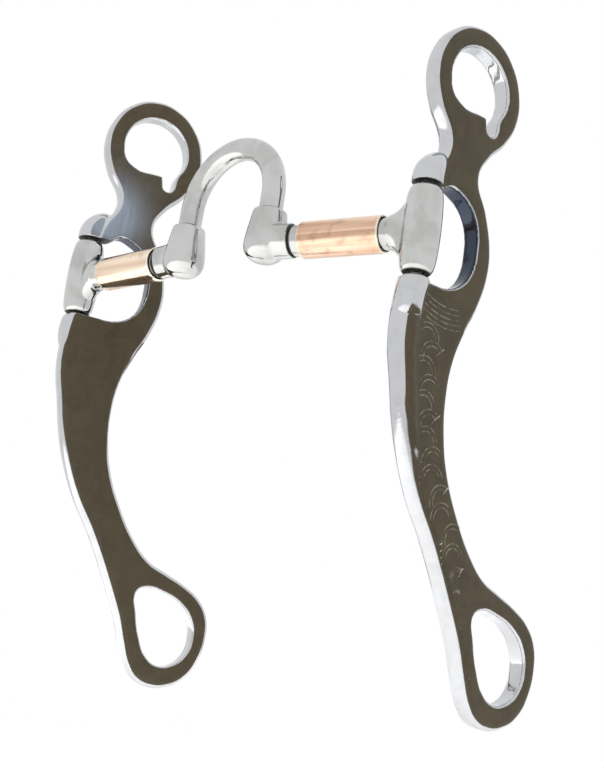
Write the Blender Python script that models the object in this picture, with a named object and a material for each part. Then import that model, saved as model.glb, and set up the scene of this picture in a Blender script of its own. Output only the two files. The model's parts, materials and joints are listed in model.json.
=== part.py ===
"""Loose-cheek curb bit with a hinged port and copper rollers.

Frame: metres, +Z up. The origin is midway between the two legs of the port, at the height of the
mouthpiece. +X runs to the rider's off-side (right) cheek, -Y is the front, where the cheek hinges
are, and the shanks sweep back to +Y. The pieces stand in a relaxed pose, with both bars and both
cheeks swung a little on their upright hinges.
"""

import math

import bmesh
import bpy
from mathutils import Matrix, Vector

MM = 0.001

# Driving dimensions, in millimetres unless the name says degrees.

CLEARANCE = 0.3            # running and seating gap between pieces
HINGE_GAP = 0.9            # end float between a barrel and each cheek boss

# Mouthpiece
PORT_WIDTH = 35.4          # between the axes of the two legs
PORT_HEIGHT = 32.4         # centre line of the arch above the bar axis
ROD_RADIUS = 3.6
TENON_RADIUS = 2.7
BAR_LENGTH = 51.2          # port leg axis to cheek pin axis
BARREL_HEIGHT = 25.8
HINGE_RISE = 1.2           # middle of the hinge barrel above the height of the mouthpiece
BARREL_END_RADIUS = 4.3
BARREL_MID_RADIUS = 5.6
PIN_RADIUS = 2.0
FLARE_LENGTH = 8.6         # from the pin axis to where the flare meets the core
CORE_RADIUS = 4.7
CORE_DROP = 1.3            # axis of the core and its roller below that same height
SLEEVE_LENGTH = 26.5
SLEEVE_WALL = 0.5
SPIGOT_RADIUS = 3.0
SPIGOT_LENGTH = 5.0

# Knuckles that hold the legs of the port
KNUCKLE_TOP = 8.9
KNUCKLE_BOTTOM = 6.9
KNUCKLE_TOP_RADIUS = 5.2
KNUCKLE_MID_RADIUS = 6.5
KNUCKLE_NECK_LENGTH = 10.0     # leg axis to the end face beside the roller
RETAINER_THICKNESS = 1.2
COUNTERBORE_RADIUS = 4.0
COUNTERBORE_DEPTH = 3.4

# Cheeks
PLATE_THICKNESS = 6.0
PLATE_INSET = 2.2          # pin axis to the middle of the plate, toward the mouth
PLATE_SETBACK = 1.9        # pin axis to the line that the plate's outlines are drawn from
EDGE_RADIUS = 2.5
RIM_RADIUS = 1.0           # edges of the holes
UPPER_BOSS_RADIUS = 4.4
UPPER_BOSS_HEIGHT = 9.0
UPPER_BOSS_LEAN = 3.4      # how far its crown leans back into the neck
LOWER_BOSS_RADIUS = 4.9
LOWER_BOSS_HEIGHT = 10.5
LOWER_BOSS_BULGE = (0.8, 1.8)      # how far its belly swells outward and forward of the pin
LOWER_BOSS_ROOT = 2.6      # radius where it has faded into the shank's front edge
PIN_SEAT_DEPTH = 6.5       # blind bore in the lower boss
WINDOW_DEPTH = 19.4        # pin axis to the back edge of the window
RING_HEIGHT = 49.0         # pin mid-height to the centre of the headstall ring
RING_SETBACK = 13.5
RING_OUTER = (17.8, 19.6)  # half width, half height
RING_RIM = 6.4
TAB_LEVEL = 41.5           # flat top of the strap tab inside the ring
NOTCH_LEVEL = 36.2         # bottom of the curb-strap notch behind the tab
SHANK_TOP = -24.0
SHANK_DROP = 68.0          # from SHANK_TOP to the head of the rein loop
LOOP_SETBACK = 46.0        # pin axis to the centre of the rein loop
LOOP_BELOW = 20.0          # centre of the rein loop below its head

# Relaxed pose, degrees. Positive turns counter-clockwise seen from above.
RIGHT_BAR_SWING = 11.5
LEFT_BAR_SWING = -0.85
RIGHT_CHEEK_SWING = -20.2
LEFT_CHEEK_SWING = -20.75
RIGHT_ROLLER_SLIDE = 0.6   # share of its end float that each roller has slid toward its cheek
LEFT_ROLLER_SLIDE = 0.25

TURN_STEPS = 28
BORE_STEPS = 24
BORE_PHASE = 4.0           # degrees; keeps the facets of a bore off the facets of what it cuts
CURVE_STEPS = 3

BARREL_HALF = BARREL_HEIGHT / 2
BOSS_FACE = BARREL_HALF + HINGE_GAP
SLEEVE_INNER_RADIUS = CORE_RADIUS + CLEARANCE
SLEEVE_RADIUS = SLEEVE_INNER_RADIUS + SLEEVE_WALL
PIN_BORE = PIN_RADIUS + CLEARANCE


# Scene and mesh helpers

def clear_scene():
    for obj in list(bpy.data.objects):
        bpy.data.objects.remove(obj, do_unlink=True)


def make_material(name, colour, roughness):
    material = bpy.data.materials.new(name)
    material.use_nodes = True
    shader = material.node_tree.nodes["Principled BSDF"]
    shader.inputs["Base Color"].default_value = (*colour, 1.0)
    shader.inputs["Metallic"].default_value = 1.0
    shader.inputs["Roughness"].default_value = roughness
    return material


def link_object(name, data):
    obj = bpy.data.objects.new(name, data)
    bpy.context.scene.collection.objects.link(obj)
    return obj


def bake(obj):
    """Replace the object by the plain mesh that its modifiers or its curve give."""
    bpy.context.view_layer.update()
    graph = bpy.context.evaluated_depsgraph_get()
    mesh = bpy.data.meshes.new_from_object(obj.evaluated_get(graph))
    name, matrix = obj.name, obj.matrix_world.copy()
    bpy.data.objects.remove(obj, do_unlink=True)
    baked = link_object(name, mesh)
    baked.matrix_world = matrix
    return baked


def mesh_object(name, bm):
    bmesh.ops.remove_doubles(bm, verts=bm.verts, dist=0.001 * MM)
    bmesh.ops.recalc_face_normals(bm, faces=bm.faces)
    mesh = bpy.data.meshes.new(name)
    bm.to_mesh(mesh)
    bm.free()
    return link_object(name, mesh)


def combine(target, tool, operation):
    """Join the tool to the target, or cut it away, and drop the tool."""
    modifier = target.modifiers.new(operation.title(), "BOOLEAN")
    modifier.operation = operation
    modifier.object = tool
    target = bake(target)
    bpy.data.objects.remove(tool, do_unlink=True)
    return target


def turned(name, profile, axis="Z", steps=TURN_STEPS):
    """Spin a profile of (radius, height) pairs; a tube's profile is closed by repeating its start."""
    bm = bmesh.new()
    verts = [bm.verts.new((r * MM, 0, z * MM)) for r, z in profile]
    edges = [bm.edges.new(pair) for pair in zip(verts, verts[1:]) if pair[0] != pair[1]]
    bmesh.ops.spin(bm, geom=verts + edges, cent=(0, 0, 0), axis=(0, 0, 1),
                   angle=math.tau, steps=steps, use_merge=False)
    obj = mesh_object(name, bm)
    if axis == "X":
        obj.data.transform(Matrix.Rotation(math.radians(90), 4, "Y"))
    return obj


def drill(target, radius, start, end, axis="Z", shift=(0.0, 0.0)):
    """Cut a round bore between two places along an axis; shift moves it by (X, Z)."""
    tool = turned("bore", [(0, start), (radius, start), (radius, end), (0, end)], axis, BORE_STEPS)
    tool.data.transform(Matrix.Rotation(math.radians(BORE_PHASE), 4, axis))
    tool.data.transform(Matrix.Translation((shift[0] * MM, 0, shift[1] * MM)))
    return combine(target, tool, "DIFFERENCE")


def arc(start, end, centre, radii, steps):
    """Points (u, v) on an ellipse from one angle to another, both in degrees."""
    points = []
    for i in range(steps + 1):
        angle = math.radians(start + (end - start) * i / steps)
        points.append((centre[0] + radii[0] * math.cos(angle),
                       centre[1] + radii[1] * math.sin(angle)))
    return points


def extruded_outline(name, points, half_depth, edge_radius=0.0, corners=()):
    """Fill a smooth closed outline of (rear, up) points and give it depth along X."""
    curve = bpy.data.curves.new(name, "CURVE")
    curve.dimensions = "2D"
    curve.fill_mode = "BOTH"
    curve.resolution_u = CURVE_STEPS
    curve.extrude = (half_depth - edge_radius) * MM
    curve.bevel_depth = edge_radius * MM
    curve.bevel_resolution = 1
    curve.offset = -edge_radius * MM
    spline = curve.splines.new("BEZIER")
    spline.bezier_points.add(len(points) - 1)
    spline.use_cyclic_u = True
    for i, (point, (rear, up)) in enumerate(zip(spline.bezier_points, points)):
        point.co = (rear * MM, up * MM, 0)
        handle = "VECTOR" if i in corners else "AUTO"
        point.handle_left_type = point.handle_right_type = handle
    solid = bake(link_object(name, curve))
    bm = bmesh.new()
    bm.from_mesh(solid.data)
    bmesh.ops.remove_doubles(bm, verts=bm.verts, dist=0.001 * MM)
    bmesh.ops.recalc_face_normals(bm, faces=bm.faces)
    # Outline axes (rear, up, depth) become (Y, Z, X).
    bmesh.ops.transform(bm, matrix=Matrix(((0, 0, 1, 0), (1, 0, 0, 0), (0, 1, 0, 0), (0, 0, 0, 1))),
                        verts=bm.verts)
    bm.to_mesh(solid.data)
    bm.free()
    return solid


def soften_rims(obj, radius, angle=50):
    modifier = obj.modifiers.new("Rims", "BEVEL")
    modifier.width = radius * MM
    modifier.segments = 2
    modifier.limit_method = "ANGLE"
    modifier.angle_limit = math.radians(angle)
    return bake(obj)


def loft(name, sections):
    """Skin a row of closed rings of points, and cap both ends."""
    bm = bmesh.new()
    rings = [[bm.verts.new(p) for p in ring] for ring in sections]
    for ring, following in zip(rings, rings[1:]):
        for i in range(len(ring)):
            j = (i + 1) % len(ring)
            bm.faces.new((ring[i], ring[j], following[j], following[i]))
    bm.faces.new(rings[0])
    bm.faces.new(reversed(rings[-1]))
    return mesh_object(name, bm)


def oval_section(x, half_width, up, down, steps=TURN_STEPS):
    """Ring of points across the bar at x, with its own reach above and below the axis."""
    ring = []
    for i in range(steps):
        # Half a step of turn keeps these points off the seam of the barrel that they run into.
        angle = math.tau * (i + 0.5) / steps
        reach = up if math.sin(angle) > 0 else down
        ring.append(Vector((x, half_width * math.cos(angle), reach * math.sin(angle))) * MM)
    return ring


# Cheek

def ring_points():
    centre = (RING_SETBACK, RING_HEIGHT)
    return arc(-42, 212, centre, RING_OUTER, 9)


def shank_stations():
    """Rows of (share of the drop, front edge, rear edge) down the shank."""
    return ((0.00, -5.7, 19.6), (0.15, -4.9, 16.2), (0.30, -3.2, 15.2), (0.45, -0.7, 16.1),
            (0.60, 3.0, 18.9), (0.75, 8.2, 24.0), (0.90, 15.2, 31.2))


def loop_outline():
    """Outside of the rein loop about its centre, from the rear of its head to the front."""
    return ((-9.0, 21.5), (-2.5, 18.8), (4.5, 16.0), (10.5, 12.3), (14.3, 7.0), (15.3, 0.5),
            (14.0, -7.0), (10.4, -13.6), (4.5, -17.6), (-2.0, -18.6), (-7.5, -16.9),
            (-11.3, -12.6), (-14.2, -6.0), (-17.0, 1.5), (-20.2, 8.0))


def loop_hole():
    """Opening of the rein loop about its centre, with a straight front side."""
    return ((-11.6, 10.9), (-8.8, 12.8), (-2.5, 12.2), (4.0, 9.6), (8.5, 5.0), (9.9, -0.5),
            (8.6, -6.2), (4.6, -10.1), (-0.5, -11.3), (-4.9, -9.0), (-8.3, -3.2), (-10.6, 4.0))


def loop_centre():
    return Vector((LOOP_SETBACK, SHANK_TOP - SHANK_DROP - LOOP_BELOW))


def cheek_outline():
    """Outside of the cheek plate, from the rear of the neck round the ring and down the front."""
    stations = [(SHANK_TOP - share * SHANK_DROP, front, rear)
                for share, front, rear in shank_stations()]
    neck_front = [(3.9, 29.6), (3.6, 25.0), (0.5, 19.0)]
    front = [(front_y, z) for z, front_y, _ in stations]
    rear = [(rear_y, z) for z, _, rear_y in reversed(stations)]
    loop = [tuple(loop_centre() + Vector(p)) for p in reversed(loop_outline())]
    behind_window = [(WINDOW_DEPTH + 3.6, -16.4), (WINDOW_DEPTH + 6.4, -5.5),
                     (WINDOW_DEPTH + 6.1, 3.0), (WINDOW_DEPTH + 3.0, 12.6), (17.9, 22.0),
                     (21.0, 29.2)]
    return ring_points() + neck_front + [(-3.5, -6.0)] + front + loop + rear + behind_window


def ring_hole_outline():
    """Opening of the headstall ring, with the strap tab and the curb notch at its foot."""
    centre = (RING_SETBACK + 0.1, RING_HEIGHT + 0.8)
    radii = (RING_OUTER[0] - RING_RIM, RING_OUTER[1] - RING_RIM - 1.4)
    tab = [(RING_SETBACK + 4.0, TAB_LEVEL), (RING_SETBACK + 4.9, NOTCH_LEVEL + 0.6),
           (RING_SETBACK + 7.4, NOTCH_LEVEL + 0.4)]
    left = [(RING_SETBACK - 4.6, TAB_LEVEL - 0.6)]
    return arc(-38, 212, centre, radii, 9) + left + tab


def window_outline():
    """Open-fronted window behind the hinge barrel, with a squarish D-shaped back."""
    centre, squareness = 4.6, 2.4
    depth, half = WINDOW_DEPTH - centre, BOSS_FACE + 1.2
    back = []
    for i in range(11):
        angle = math.radians(84 - 168 * i / 10)
        y = centre + depth * math.cos(angle) ** (2 / squareness)
        z = half * math.copysign(abs(math.sin(angle)) ** (2 / squareness), math.sin(angle))
        back.append((y, z))
    outline = [(-15, BOSS_FACE), (5.6, BOSS_FACE)] + back + [(5.6, -BOSS_FACE), (-15, -BOSS_FACE)]
    return [(y, z + HINGE_RISE) for y, z in outline]


def round_ring(radius, centre, height):
    """Level ring of points about a centre (out, rear), at a height from the middle of the hinge."""
    return [Vector((centre[0] + radius * math.cos(a), centre[1] + radius * math.sin(a),
                    height + HINGE_RISE)) * MM
            for a in (math.tau * k / TURN_STEPS for k in range(TURN_STEPS))]


def upper_boss(name, base):
    """Domed boss that stands on a base height, and whose crown leans back into the neck."""
    rim, crown = 0.5, BOSS_FACE + UPPER_BOSS_HEIGHT
    straight = BOSS_FACE + 0.35 * UPPER_BOSS_HEIGHT
    rings = [round_ring(UPPER_BOSS_RADIUS - rim, (0, 0), base),
             round_ring(UPPER_BOSS_RADIUS, (0, 0), base + rim)]
    for i in range(8):
        rise = math.sin(math.radians(12 * i))
        radius = UPPER_BOSS_RADIUS * math.sqrt(1 - rise ** 2)
        centre = (0, UPPER_BOSS_LEAN * rise ** 2)
        rings.append(round_ring(radius, centre, straight + (crown - straight) * rise))
    return loft(name, rings)


def lower_boss(name, outward):
    """Round-shouldered boss that swells forward, then tapers into the shank's front edge."""
    shoulder = 1.2
    front_edge = shank_stations()[0][1] + PLATE_SETBACK
    belly = Vector((outward * LOWER_BOSS_BULGE[0], -LOWER_BOSS_BULGE[1]))
    root = Vector((-outward * PLATE_INSET, front_edge + PLATE_THICKNESS / 2 + 0.3))
    rings = []
    for i in range(12):
        share = i / 11
        drop = share * LOWER_BOSS_HEIGHT
        radius = LOWER_BOSS_ROOT + (LOWER_BOSS_RADIUS - LOWER_BOSS_ROOT) * math.sqrt(1 - share ** 3)
        if drop < shoulder:
            radius -= shoulder * (1 - math.sqrt(1 - (1 - drop / shoulder) ** 2))
        swell = math.sin(math.pi * min(share / 0.7, 1) / 2)
        centre = belly * swell * (1 - share ** 3) + root * share ** 3
        rings.append(round_ring(radius, centre, -BOSS_FACE - drop))
    return loft(name, rings)


def make_cheek(name, outward):
    """Cheek about its pin axis; outward is 1 or -1, the side of X that faces away from the mouth."""
    half = PLATE_THICKNESS / 2
    cheek = extruded_outline(name, cheek_outline(), half, EDGE_RADIUS)
    count = len(ring_hole_outline())
    ring_hole = extruded_outline("ring_hole", ring_hole_outline(), 2 * half,
                                 corners=(count - 4, count - 3, count - 2))
    cheek = combine(cheek, ring_hole, "DIFFERENCE")
    window_points = window_outline()
    last = len(window_points) - 1
    window = extruded_outline("window", window_points, 2 * half, corners=(0, 1, last - 1, last))
    cheek = combine(cheek, window, "DIFFERENCE")
    hole_points = [tuple(loop_centre() + Vector(p)) for p in loop_hole()]
    cheek = combine(cheek, extruded_outline("rein_hole", hole_points, 2 * half), "DIFFERENCE")
    cheek = soften_rims(cheek, RIM_RADIUS)
    cheek.data.transform(Matrix.Translation((-outward * PLATE_INSET * MM, PLATE_SETBACK * MM, 0)))
    cheek = combine(cheek, upper_boss("upper_boss", BOSS_FACE), "UNION")
    cheek = combine(cheek, lower_boss("lower_boss", outward), "UNION")
    return drill(cheek, PIN_BORE, -BOSS_FACE - PIN_SEAT_DEPTH, BOSS_FACE + 2 * UPPER_BOSS_HEIGHT,
                 shift=(0.0, HINGE_RISE))


def make_hinge_pin(name):
    """Pin whose head is ground flush with the crown of the upper boss."""
    foot = -BOSS_FACE - PIN_SEAT_DEPTH + CLEARANCE
    head = BOSS_FACE + UPPER_BOSS_HEIGHT + 1
    chamfer = 0.4
    profile = [(0, head), (PIN_RADIUS, head), (PIN_RADIUS, foot + chamfer),
               (PIN_RADIUS - chamfer, foot), (0, foot)]
    pin = turned(name, profile, steps=BORE_STEPS)
    pin.data.transform(Matrix.Rotation(math.radians(BORE_PHASE), 4, "Z"))
    pin.data.transform(Matrix.Translation((0, 0, HINGE_RISE * MM)))
    return combine(pin, upper_boss("crown", foot - 2), "INTERSECT")


# Bar, roller and knuckle. X runs outward from the port leg axis to the cheek pin axis.

def flare_sections():
    """Rings from inside the barrel to the core, with a concave fillet above and below."""
    root, tip = BARREL_HALF - 0.8, CORE_RADIUS + 0.5
    width = BARREL_END_RADIUS - 0.4
    start = 0.8 * BARREL_END_RADIUS
    rings = [oval_section(BAR_LENGTH, width, root + HINGE_RISE, root - HINGE_RISE)]
    for i in range(9):
        share = i / 8
        rise = (1 - share) ** 1.8
        up = (tip - CORE_DROP) * (1 - rise) + (root + HINGE_RISE) * rise
        down = (tip + CORE_DROP) * (1 - rise) + (root - HINGE_RISE) * rise
        rings.append(oval_section(BAR_LENGTH - start - (FLARE_LENGTH - start) * share,
                                  width + (tip - width) * share, up, down))
    return rings


def barrel_profile():
    """Bulging hinge barrel, as an arc through its end and middle radii."""
    rim = 0.5
    profile = [(0, -BARREL_HALF), (BARREL_END_RADIUS - rim, -BARREL_HALF)]
    for i in range(11):
        share = -1 + i / 5
        radius = BARREL_END_RADIUS + (BARREL_MID_RADIUS - BARREL_END_RADIUS) * math.sqrt(
            max(0.0, 1 - share ** 2))
        profile.append((radius, share * (BARREL_HALF - rim)))
    return profile + [(BARREL_END_RADIUS - rim, BARREL_HALF), (0, BARREL_HALF)]


def make_bar(name):
    bar = turned(name, barrel_profile())
    bar.data.transform(Matrix.Translation((BAR_LENGTH * MM, 0, HINGE_RISE * MM)))
    bar = combine(bar, loft("flare", flare_sections()), "UNION")
    shoulder = KNUCKLE_NECK_LENGTH + CLEARANCE
    tip = KNUCKLE_NECK_LENGTH - SPIGOT_LENGTH + CLEARANCE
    overlap = BAR_LENGTH - FLARE_LENGTH + 1.0
    core = turned("core", [(0, tip), (SPIGOT_RADIUS, tip), (SPIGOT_RADIUS, shoulder),
                           (CORE_RADIUS, shoulder), (CORE_RADIUS, overlap), (0, overlap)], "X")
    core.data.transform(Matrix.Translation((0, 0, -CORE_DROP * MM)))
    bar = combine(bar, core, "UNION")
    return drill(bar, PIN_BORE, -BARREL_HALF - 1, BARREL_HALF + 1,
                 shift=(BAR_LENGTH, HINGE_RISE))


def make_sleeve(name, slide):
    """Thin copper roller, slid along its core between the knuckle and the flare."""
    first = KNUCKLE_NECK_LENGTH + CLEARANCE
    last = BAR_LENGTH - FLARE_LENGTH - CLEARANCE - SLEEVE_LENGTH
    start = first + slide * (last - first)
    end = start + SLEEVE_LENGTH
    inner, outer, rim = SLEEVE_INNER_RADIUS, SLEEVE_RADIUS, 0.2
    profile = [(inner, start), (outer - rim, start), (outer, start + rim), (outer, end - rim),
               (outer - rim, end), (inner, end), (inner, start)]
    sleeve = turned(name, profile, "X")
    sleeve.data.transform(Matrix.Translation((0, 0, -CORE_DROP * MM)))
    return sleeve


def knuckle_profile():
    """Pear-shaped barrel of the knuckle, down to its open foot."""
    top, foot = KNUCKLE_TOP, -KNUCKLE_BOTTOM
    mid = KNUCKLE_MID_RADIUS
    return [(0, top), (KNUCKLE_TOP_RADIUS - 0.4, top), (KNUCKLE_TOP_RADIUS, top - 0.5),
            (KNUCKLE_TOP_RADIUS + 0.5, 0.55 * top), (mid - 0.3, 0.15 * top), (mid, 0.25 * foot),
            (mid - 0.1, 0.5 * foot), (mid - 0.6, 0.75 * foot), (mid - 1.3, 0.92 * foot),
            (COUNTERBORE_RADIUS + 0.2, foot), (0, foot)]


def neck_sections():
    """Rings from the roller end into the knuckle, level along the underside."""
    rings = []
    start = SLEEVE_RADIUS - 0.3
    for i in range(7):
        share = i / 6
        swell = share ** 2
        rings.append(oval_section(KNUCKLE_NECK_LENGTH * (1 - share), start + 0.7 * swell,
                                  start - CORE_DROP + 1.4 * swell, start + CORE_DROP))
    return rings


def make_knuckle(name):
    knuckle = turned(name, knuckle_profile())
    knuckle = combine(knuckle, loft("neck", neck_sections()), "UNION")
    bore = TENON_RADIUS + CLEARANCE
    knuckle = drill(knuckle, bore, -KNUCKLE_BOTTOM - 1, KNUCKLE_TOP + 1)
    knuckle = drill(knuckle, COUNTERBORE_RADIUS, -KNUCKLE_BOTTOM - 1,
                    -KNUCKLE_BOTTOM + COUNTERBORE_DEPTH)
    socket_end = KNUCKLE_NECK_LENGTH - SPIGOT_LENGTH
    return drill(knuckle, SPIGOT_RADIUS + CLEARANCE, socket_end, KNUCKLE_NECK_LENGTH + 1, "X",
                 shift=(0.0, -CORE_DROP))


def retainer_top():
    return -KNUCKLE_BOTTOM + COUNTERBORE_DEPTH - CLEARANCE


def make_retainer(name):
    """Washer riveted on the foot of the port leg."""
    inner, outer = TENON_RADIUS - 0.5 + CLEARANCE, COUNTERBORE_RADIUS - CLEARANCE
    top = retainer_top()
    foot = top - RETAINER_THICKNESS
    return turned(name, [(inner, top), (inner, foot), (outer, foot), (outer, top), (inner, top)],
                  steps=24)


def make_cap(name):
    """Domed plug that closes the counterbore."""
    outer = COUNTERBORE_RADIUS - CLEARANCE
    top = retainer_top() - RETAINER_THICKNESS - 2 * CLEARANCE
    foot = -KNUCKLE_BOTTOM
    profile = [(0, top), (outer, top), (outer, foot), (0.7 * outer, foot - 0.4), (0, foot - 0.6)]
    return turned(name, profile, steps=24)


def port_path():
    """Centre line of the port from one shoulder over the arch to the other."""
    half = PORT_WIDTH / 2
    spring = PORT_HEIGHT - half
    return [(half, spring)] + arc(0, 180, (0, spring), (half, half), 20)[1:-1] + [(-half, spring)]


def make_port(name):
    """Round rod bent to an arch, with a turned tenon and rivet end on each leg."""
    half = PORT_WIDTH / 2
    shoulder = KNUCKLE_TOP + CLEARANCE
    step = retainer_top() + CLEARANCE
    foot = retainer_top() - RETAINER_THICKNESS
    leg = [(foot, TENON_RADIUS - 0.5), (step, TENON_RADIUS - 0.5), (step, TENON_RADIUS),
           (shoulder, TENON_RADIUS), (shoulder, ROD_RADIUS)]
    path = port_path()
    stations = [((half, z), r, Vector((0, 0, 1))) for z, r in leg]
    for i, point in enumerate(path):
        before, after = path[max(i - 1, 0)], path[min(i + 1, len(path) - 1)]
        direction = Vector((after[0] - before[0], 0, after[1] - before[1]))
        if i in (0, len(path) - 1):
            direction = Vector((0, 0, 1 if i == 0 else -1))
        stations.append((point, ROD_RADIUS, direction))
    stations += [((-half, z), r, Vector((0, 0, -1))) for z, r in reversed(leg)]
    rings = []
    for (x, z), radius, direction in stations:
        side = Vector((0, 1, 0))
        out = direction.normalized().cross(side)
        centre = Vector((x, 0, z))
        rings.append([(centre + radius * (math.cos(a) * side + math.sin(a) * out)) * MM
                      for a in (math.tau * k / 20 for k in range(20))])
    return loft(name, rings)


# Assembly

def pivot(name, parent, x, degrees):
    """Empty on an upright hinge axis, turned to the relaxed pose."""
    empty = link_object(name, None)
    empty.parent = parent
    empty.location = (x * MM, 0, 0)
    empty.rotation_euler = (0, 0, math.radians(degrees))
    return empty


def finish(obj, parent, material):
    obj.parent = parent
    obj.data.materials.clear()
    obj.data.materials.append(material)
    obj.data.shade_smooth()
    obj.data.set_sharp_from_angle(angle=math.radians(35))


def make_side(side, x, bar_turn, cheek_turn, roller_slide):
    """One bar with its knuckle, roller, pin and cheek, on the hinges of that side."""
    outward = 1 if x > 0 else -1
    bar_pivot = pivot(side + "_bar_pivot", None, x, bar_turn)
    cheek_pivot = pivot(side + "_cheek_pivot", bar_pivot, BAR_LENGTH, cheek_turn)
    steel = (0.62, 0.63, 0.62)
    pieces = (
        (make_bar(side + "_bar"), bar_pivot, steel, 0.16),
        (make_knuckle(side + "_knuckle"), bar_pivot, (0.60, 0.61, 0.60), 0.15),
        (make_cap(side + "_knuckle_cap"), bar_pivot, (0.58, 0.59, 0.58), 0.2),
        (make_sleeve(side + "_roller", roller_slide), bar_pivot, (0.60, 0.33, 0.18), 0.28),
        (make_cheek(side + "_cheek", outward), cheek_pivot, (0.42, 0.38, 0.32), 0.34),
        (make_hinge_pin(side + "_hinge_pin"), cheek_pivot, (0.55, 0.55, 0.54), 0.25),
    )
    for obj, parent, colour, roughness in pieces:
        finish(obj, parent, make_material(obj.name, colour, roughness))


def main():
    clear_scene()
    half = PORT_WIDTH / 2
    finish(make_port("port"), None, make_material("port", (0.62, 0.63, 0.63), 0.14))
    for side, x in (("right", half), ("left", -half)):
        retainer = make_retainer(side + "_leg_retainer")
        retainer.data.transform(Matrix.Translation((x * MM, 0, 0)))
        finish(retainer, None, make_material(retainer.name, (0.50, 0.50, 0.49), 0.35))
    make_side("right", half, RIGHT_BAR_SWING, RIGHT_CHEEK_SWING, RIGHT_ROLLER_SLIDE)
    make_side("left", -half, 180 + LEFT_BAR_SWING, LEFT_CHEEK_SWING - 180, LEFT_ROLLER_SLIDE)


if __name__ == "__main__":
    main()
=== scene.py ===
"""Looks of a loose-cheek curb bit with a hinged port and copper rollers.

Each piece is built in millimetres in its own sub-assembly's frame, skinned into one smooth casting,
and then placed in metres in the row frame: +X is the off-side (right) cheek, -Y the front, +Z up.
"""

from __future__ import annotations

import json
import logging
import math
from collections.abc import Callable, Iterable, Sequence
from dataclasses import dataclass, field
from enum import Enum
from typing import Any

import bmesh
import bpy
import numpy as np
from mathutils import Matrix, Vector

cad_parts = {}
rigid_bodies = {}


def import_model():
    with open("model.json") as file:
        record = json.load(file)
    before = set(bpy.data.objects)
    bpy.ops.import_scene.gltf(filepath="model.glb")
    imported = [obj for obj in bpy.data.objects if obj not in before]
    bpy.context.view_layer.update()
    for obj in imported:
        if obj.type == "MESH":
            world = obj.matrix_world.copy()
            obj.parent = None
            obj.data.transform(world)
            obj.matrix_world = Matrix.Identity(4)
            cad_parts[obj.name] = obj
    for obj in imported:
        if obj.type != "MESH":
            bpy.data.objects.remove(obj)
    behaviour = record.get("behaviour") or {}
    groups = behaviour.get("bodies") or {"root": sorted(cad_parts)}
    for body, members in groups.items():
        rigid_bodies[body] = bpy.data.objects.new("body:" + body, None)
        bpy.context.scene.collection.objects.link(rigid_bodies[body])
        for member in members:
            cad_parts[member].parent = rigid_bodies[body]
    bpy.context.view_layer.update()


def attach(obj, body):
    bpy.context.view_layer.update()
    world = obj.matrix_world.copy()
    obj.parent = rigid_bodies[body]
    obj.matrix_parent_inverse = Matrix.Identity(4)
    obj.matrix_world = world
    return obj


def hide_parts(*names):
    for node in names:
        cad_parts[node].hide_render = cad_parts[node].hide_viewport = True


LOG = logging.getLogger("curb_bit")
MM = 0.001
Colour = tuple[float, float, float]
Point = tuple[float, float]


# ---------------------------------------------------------------------------------------------
# Node sheets
# ---------------------------------------------------------------------------------------------

def find_socket(sockets: Any, key: str) -> Any:
    """Find a socket by its identifier, or else by the name of an enabled one.

    Args:
        sockets: The inputs or outputs of a node.
        key: Identifier or name.

    Returns:
        The socket.
    """
    for socket in sockets:
        if socket.identifier == key:
            return socket
    for socket in sockets:
        if socket.name == key and socket.enabled:
            return socket
    raise KeyError(f"no socket {key!r} among {[s.name for s in sockets]}")


def math_operator(operation: str, turned: bool = False) -> Callable[["Wire", Any], "Wire"]:
    """Make the method behind one arithmetic operator.

    Args:
        operation: The Math node's operation.
        turned: True for a reflected operator, whose other value comes first.

    Returns:
        The method, which adds one Math node.
    """
    def apply(self: "Wire", other: Any) -> "Wire":
        """Add the Math node."""
        return self.math(operation, *((other, self) if turned else (self, other)))

    return apply


class Wire:
    """A value on a node sheet. Arithmetic on it adds Math nodes to the sheet."""

    def __init__(self, sheet: "NodeSheet", socket: Any) -> None:
        """Hold the sheet and the output socket that carries the value."""
        self.sheet = sheet
        self.socket = socket

    def math(self, operation: str, *values: Any) -> "Wire":
        """Add one Math node fed by these numbers or wires."""
        return self.sheet.math(operation, *values)

    __add__, __radd__ = math_operator("ADD"), math_operator("ADD", turned=True)
    __sub__, __rsub__ = math_operator("SUBTRACT"), math_operator("SUBTRACT", turned=True)
    __mul__, __rmul__ = math_operator("MULTIPLY"), math_operator("MULTIPLY", turned=True)
    __pow__ = math_operator("POWER")

    def larger(self, other: Any) -> "Wire":
        """Take the larger of the two."""
        return self.math("MAXIMUM", self, other)

    def step(self, low: float, high: float) -> "Wire":
        """Rise smoothly from 0 at low to 1 at high.

        Args:
            low: Value that gives 0.
            high: Value that gives 1.

        Returns:
            The eased mask.
        """
        node = self.sheet.node("ShaderNodeMapRange", {"interpolation_type": "SMOOTHSTEP"},
                               {"Value": self, "From Min": low, "From Max": high})
        return Wire(self.sheet, find_socket(node.outputs, "Result"))


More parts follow.
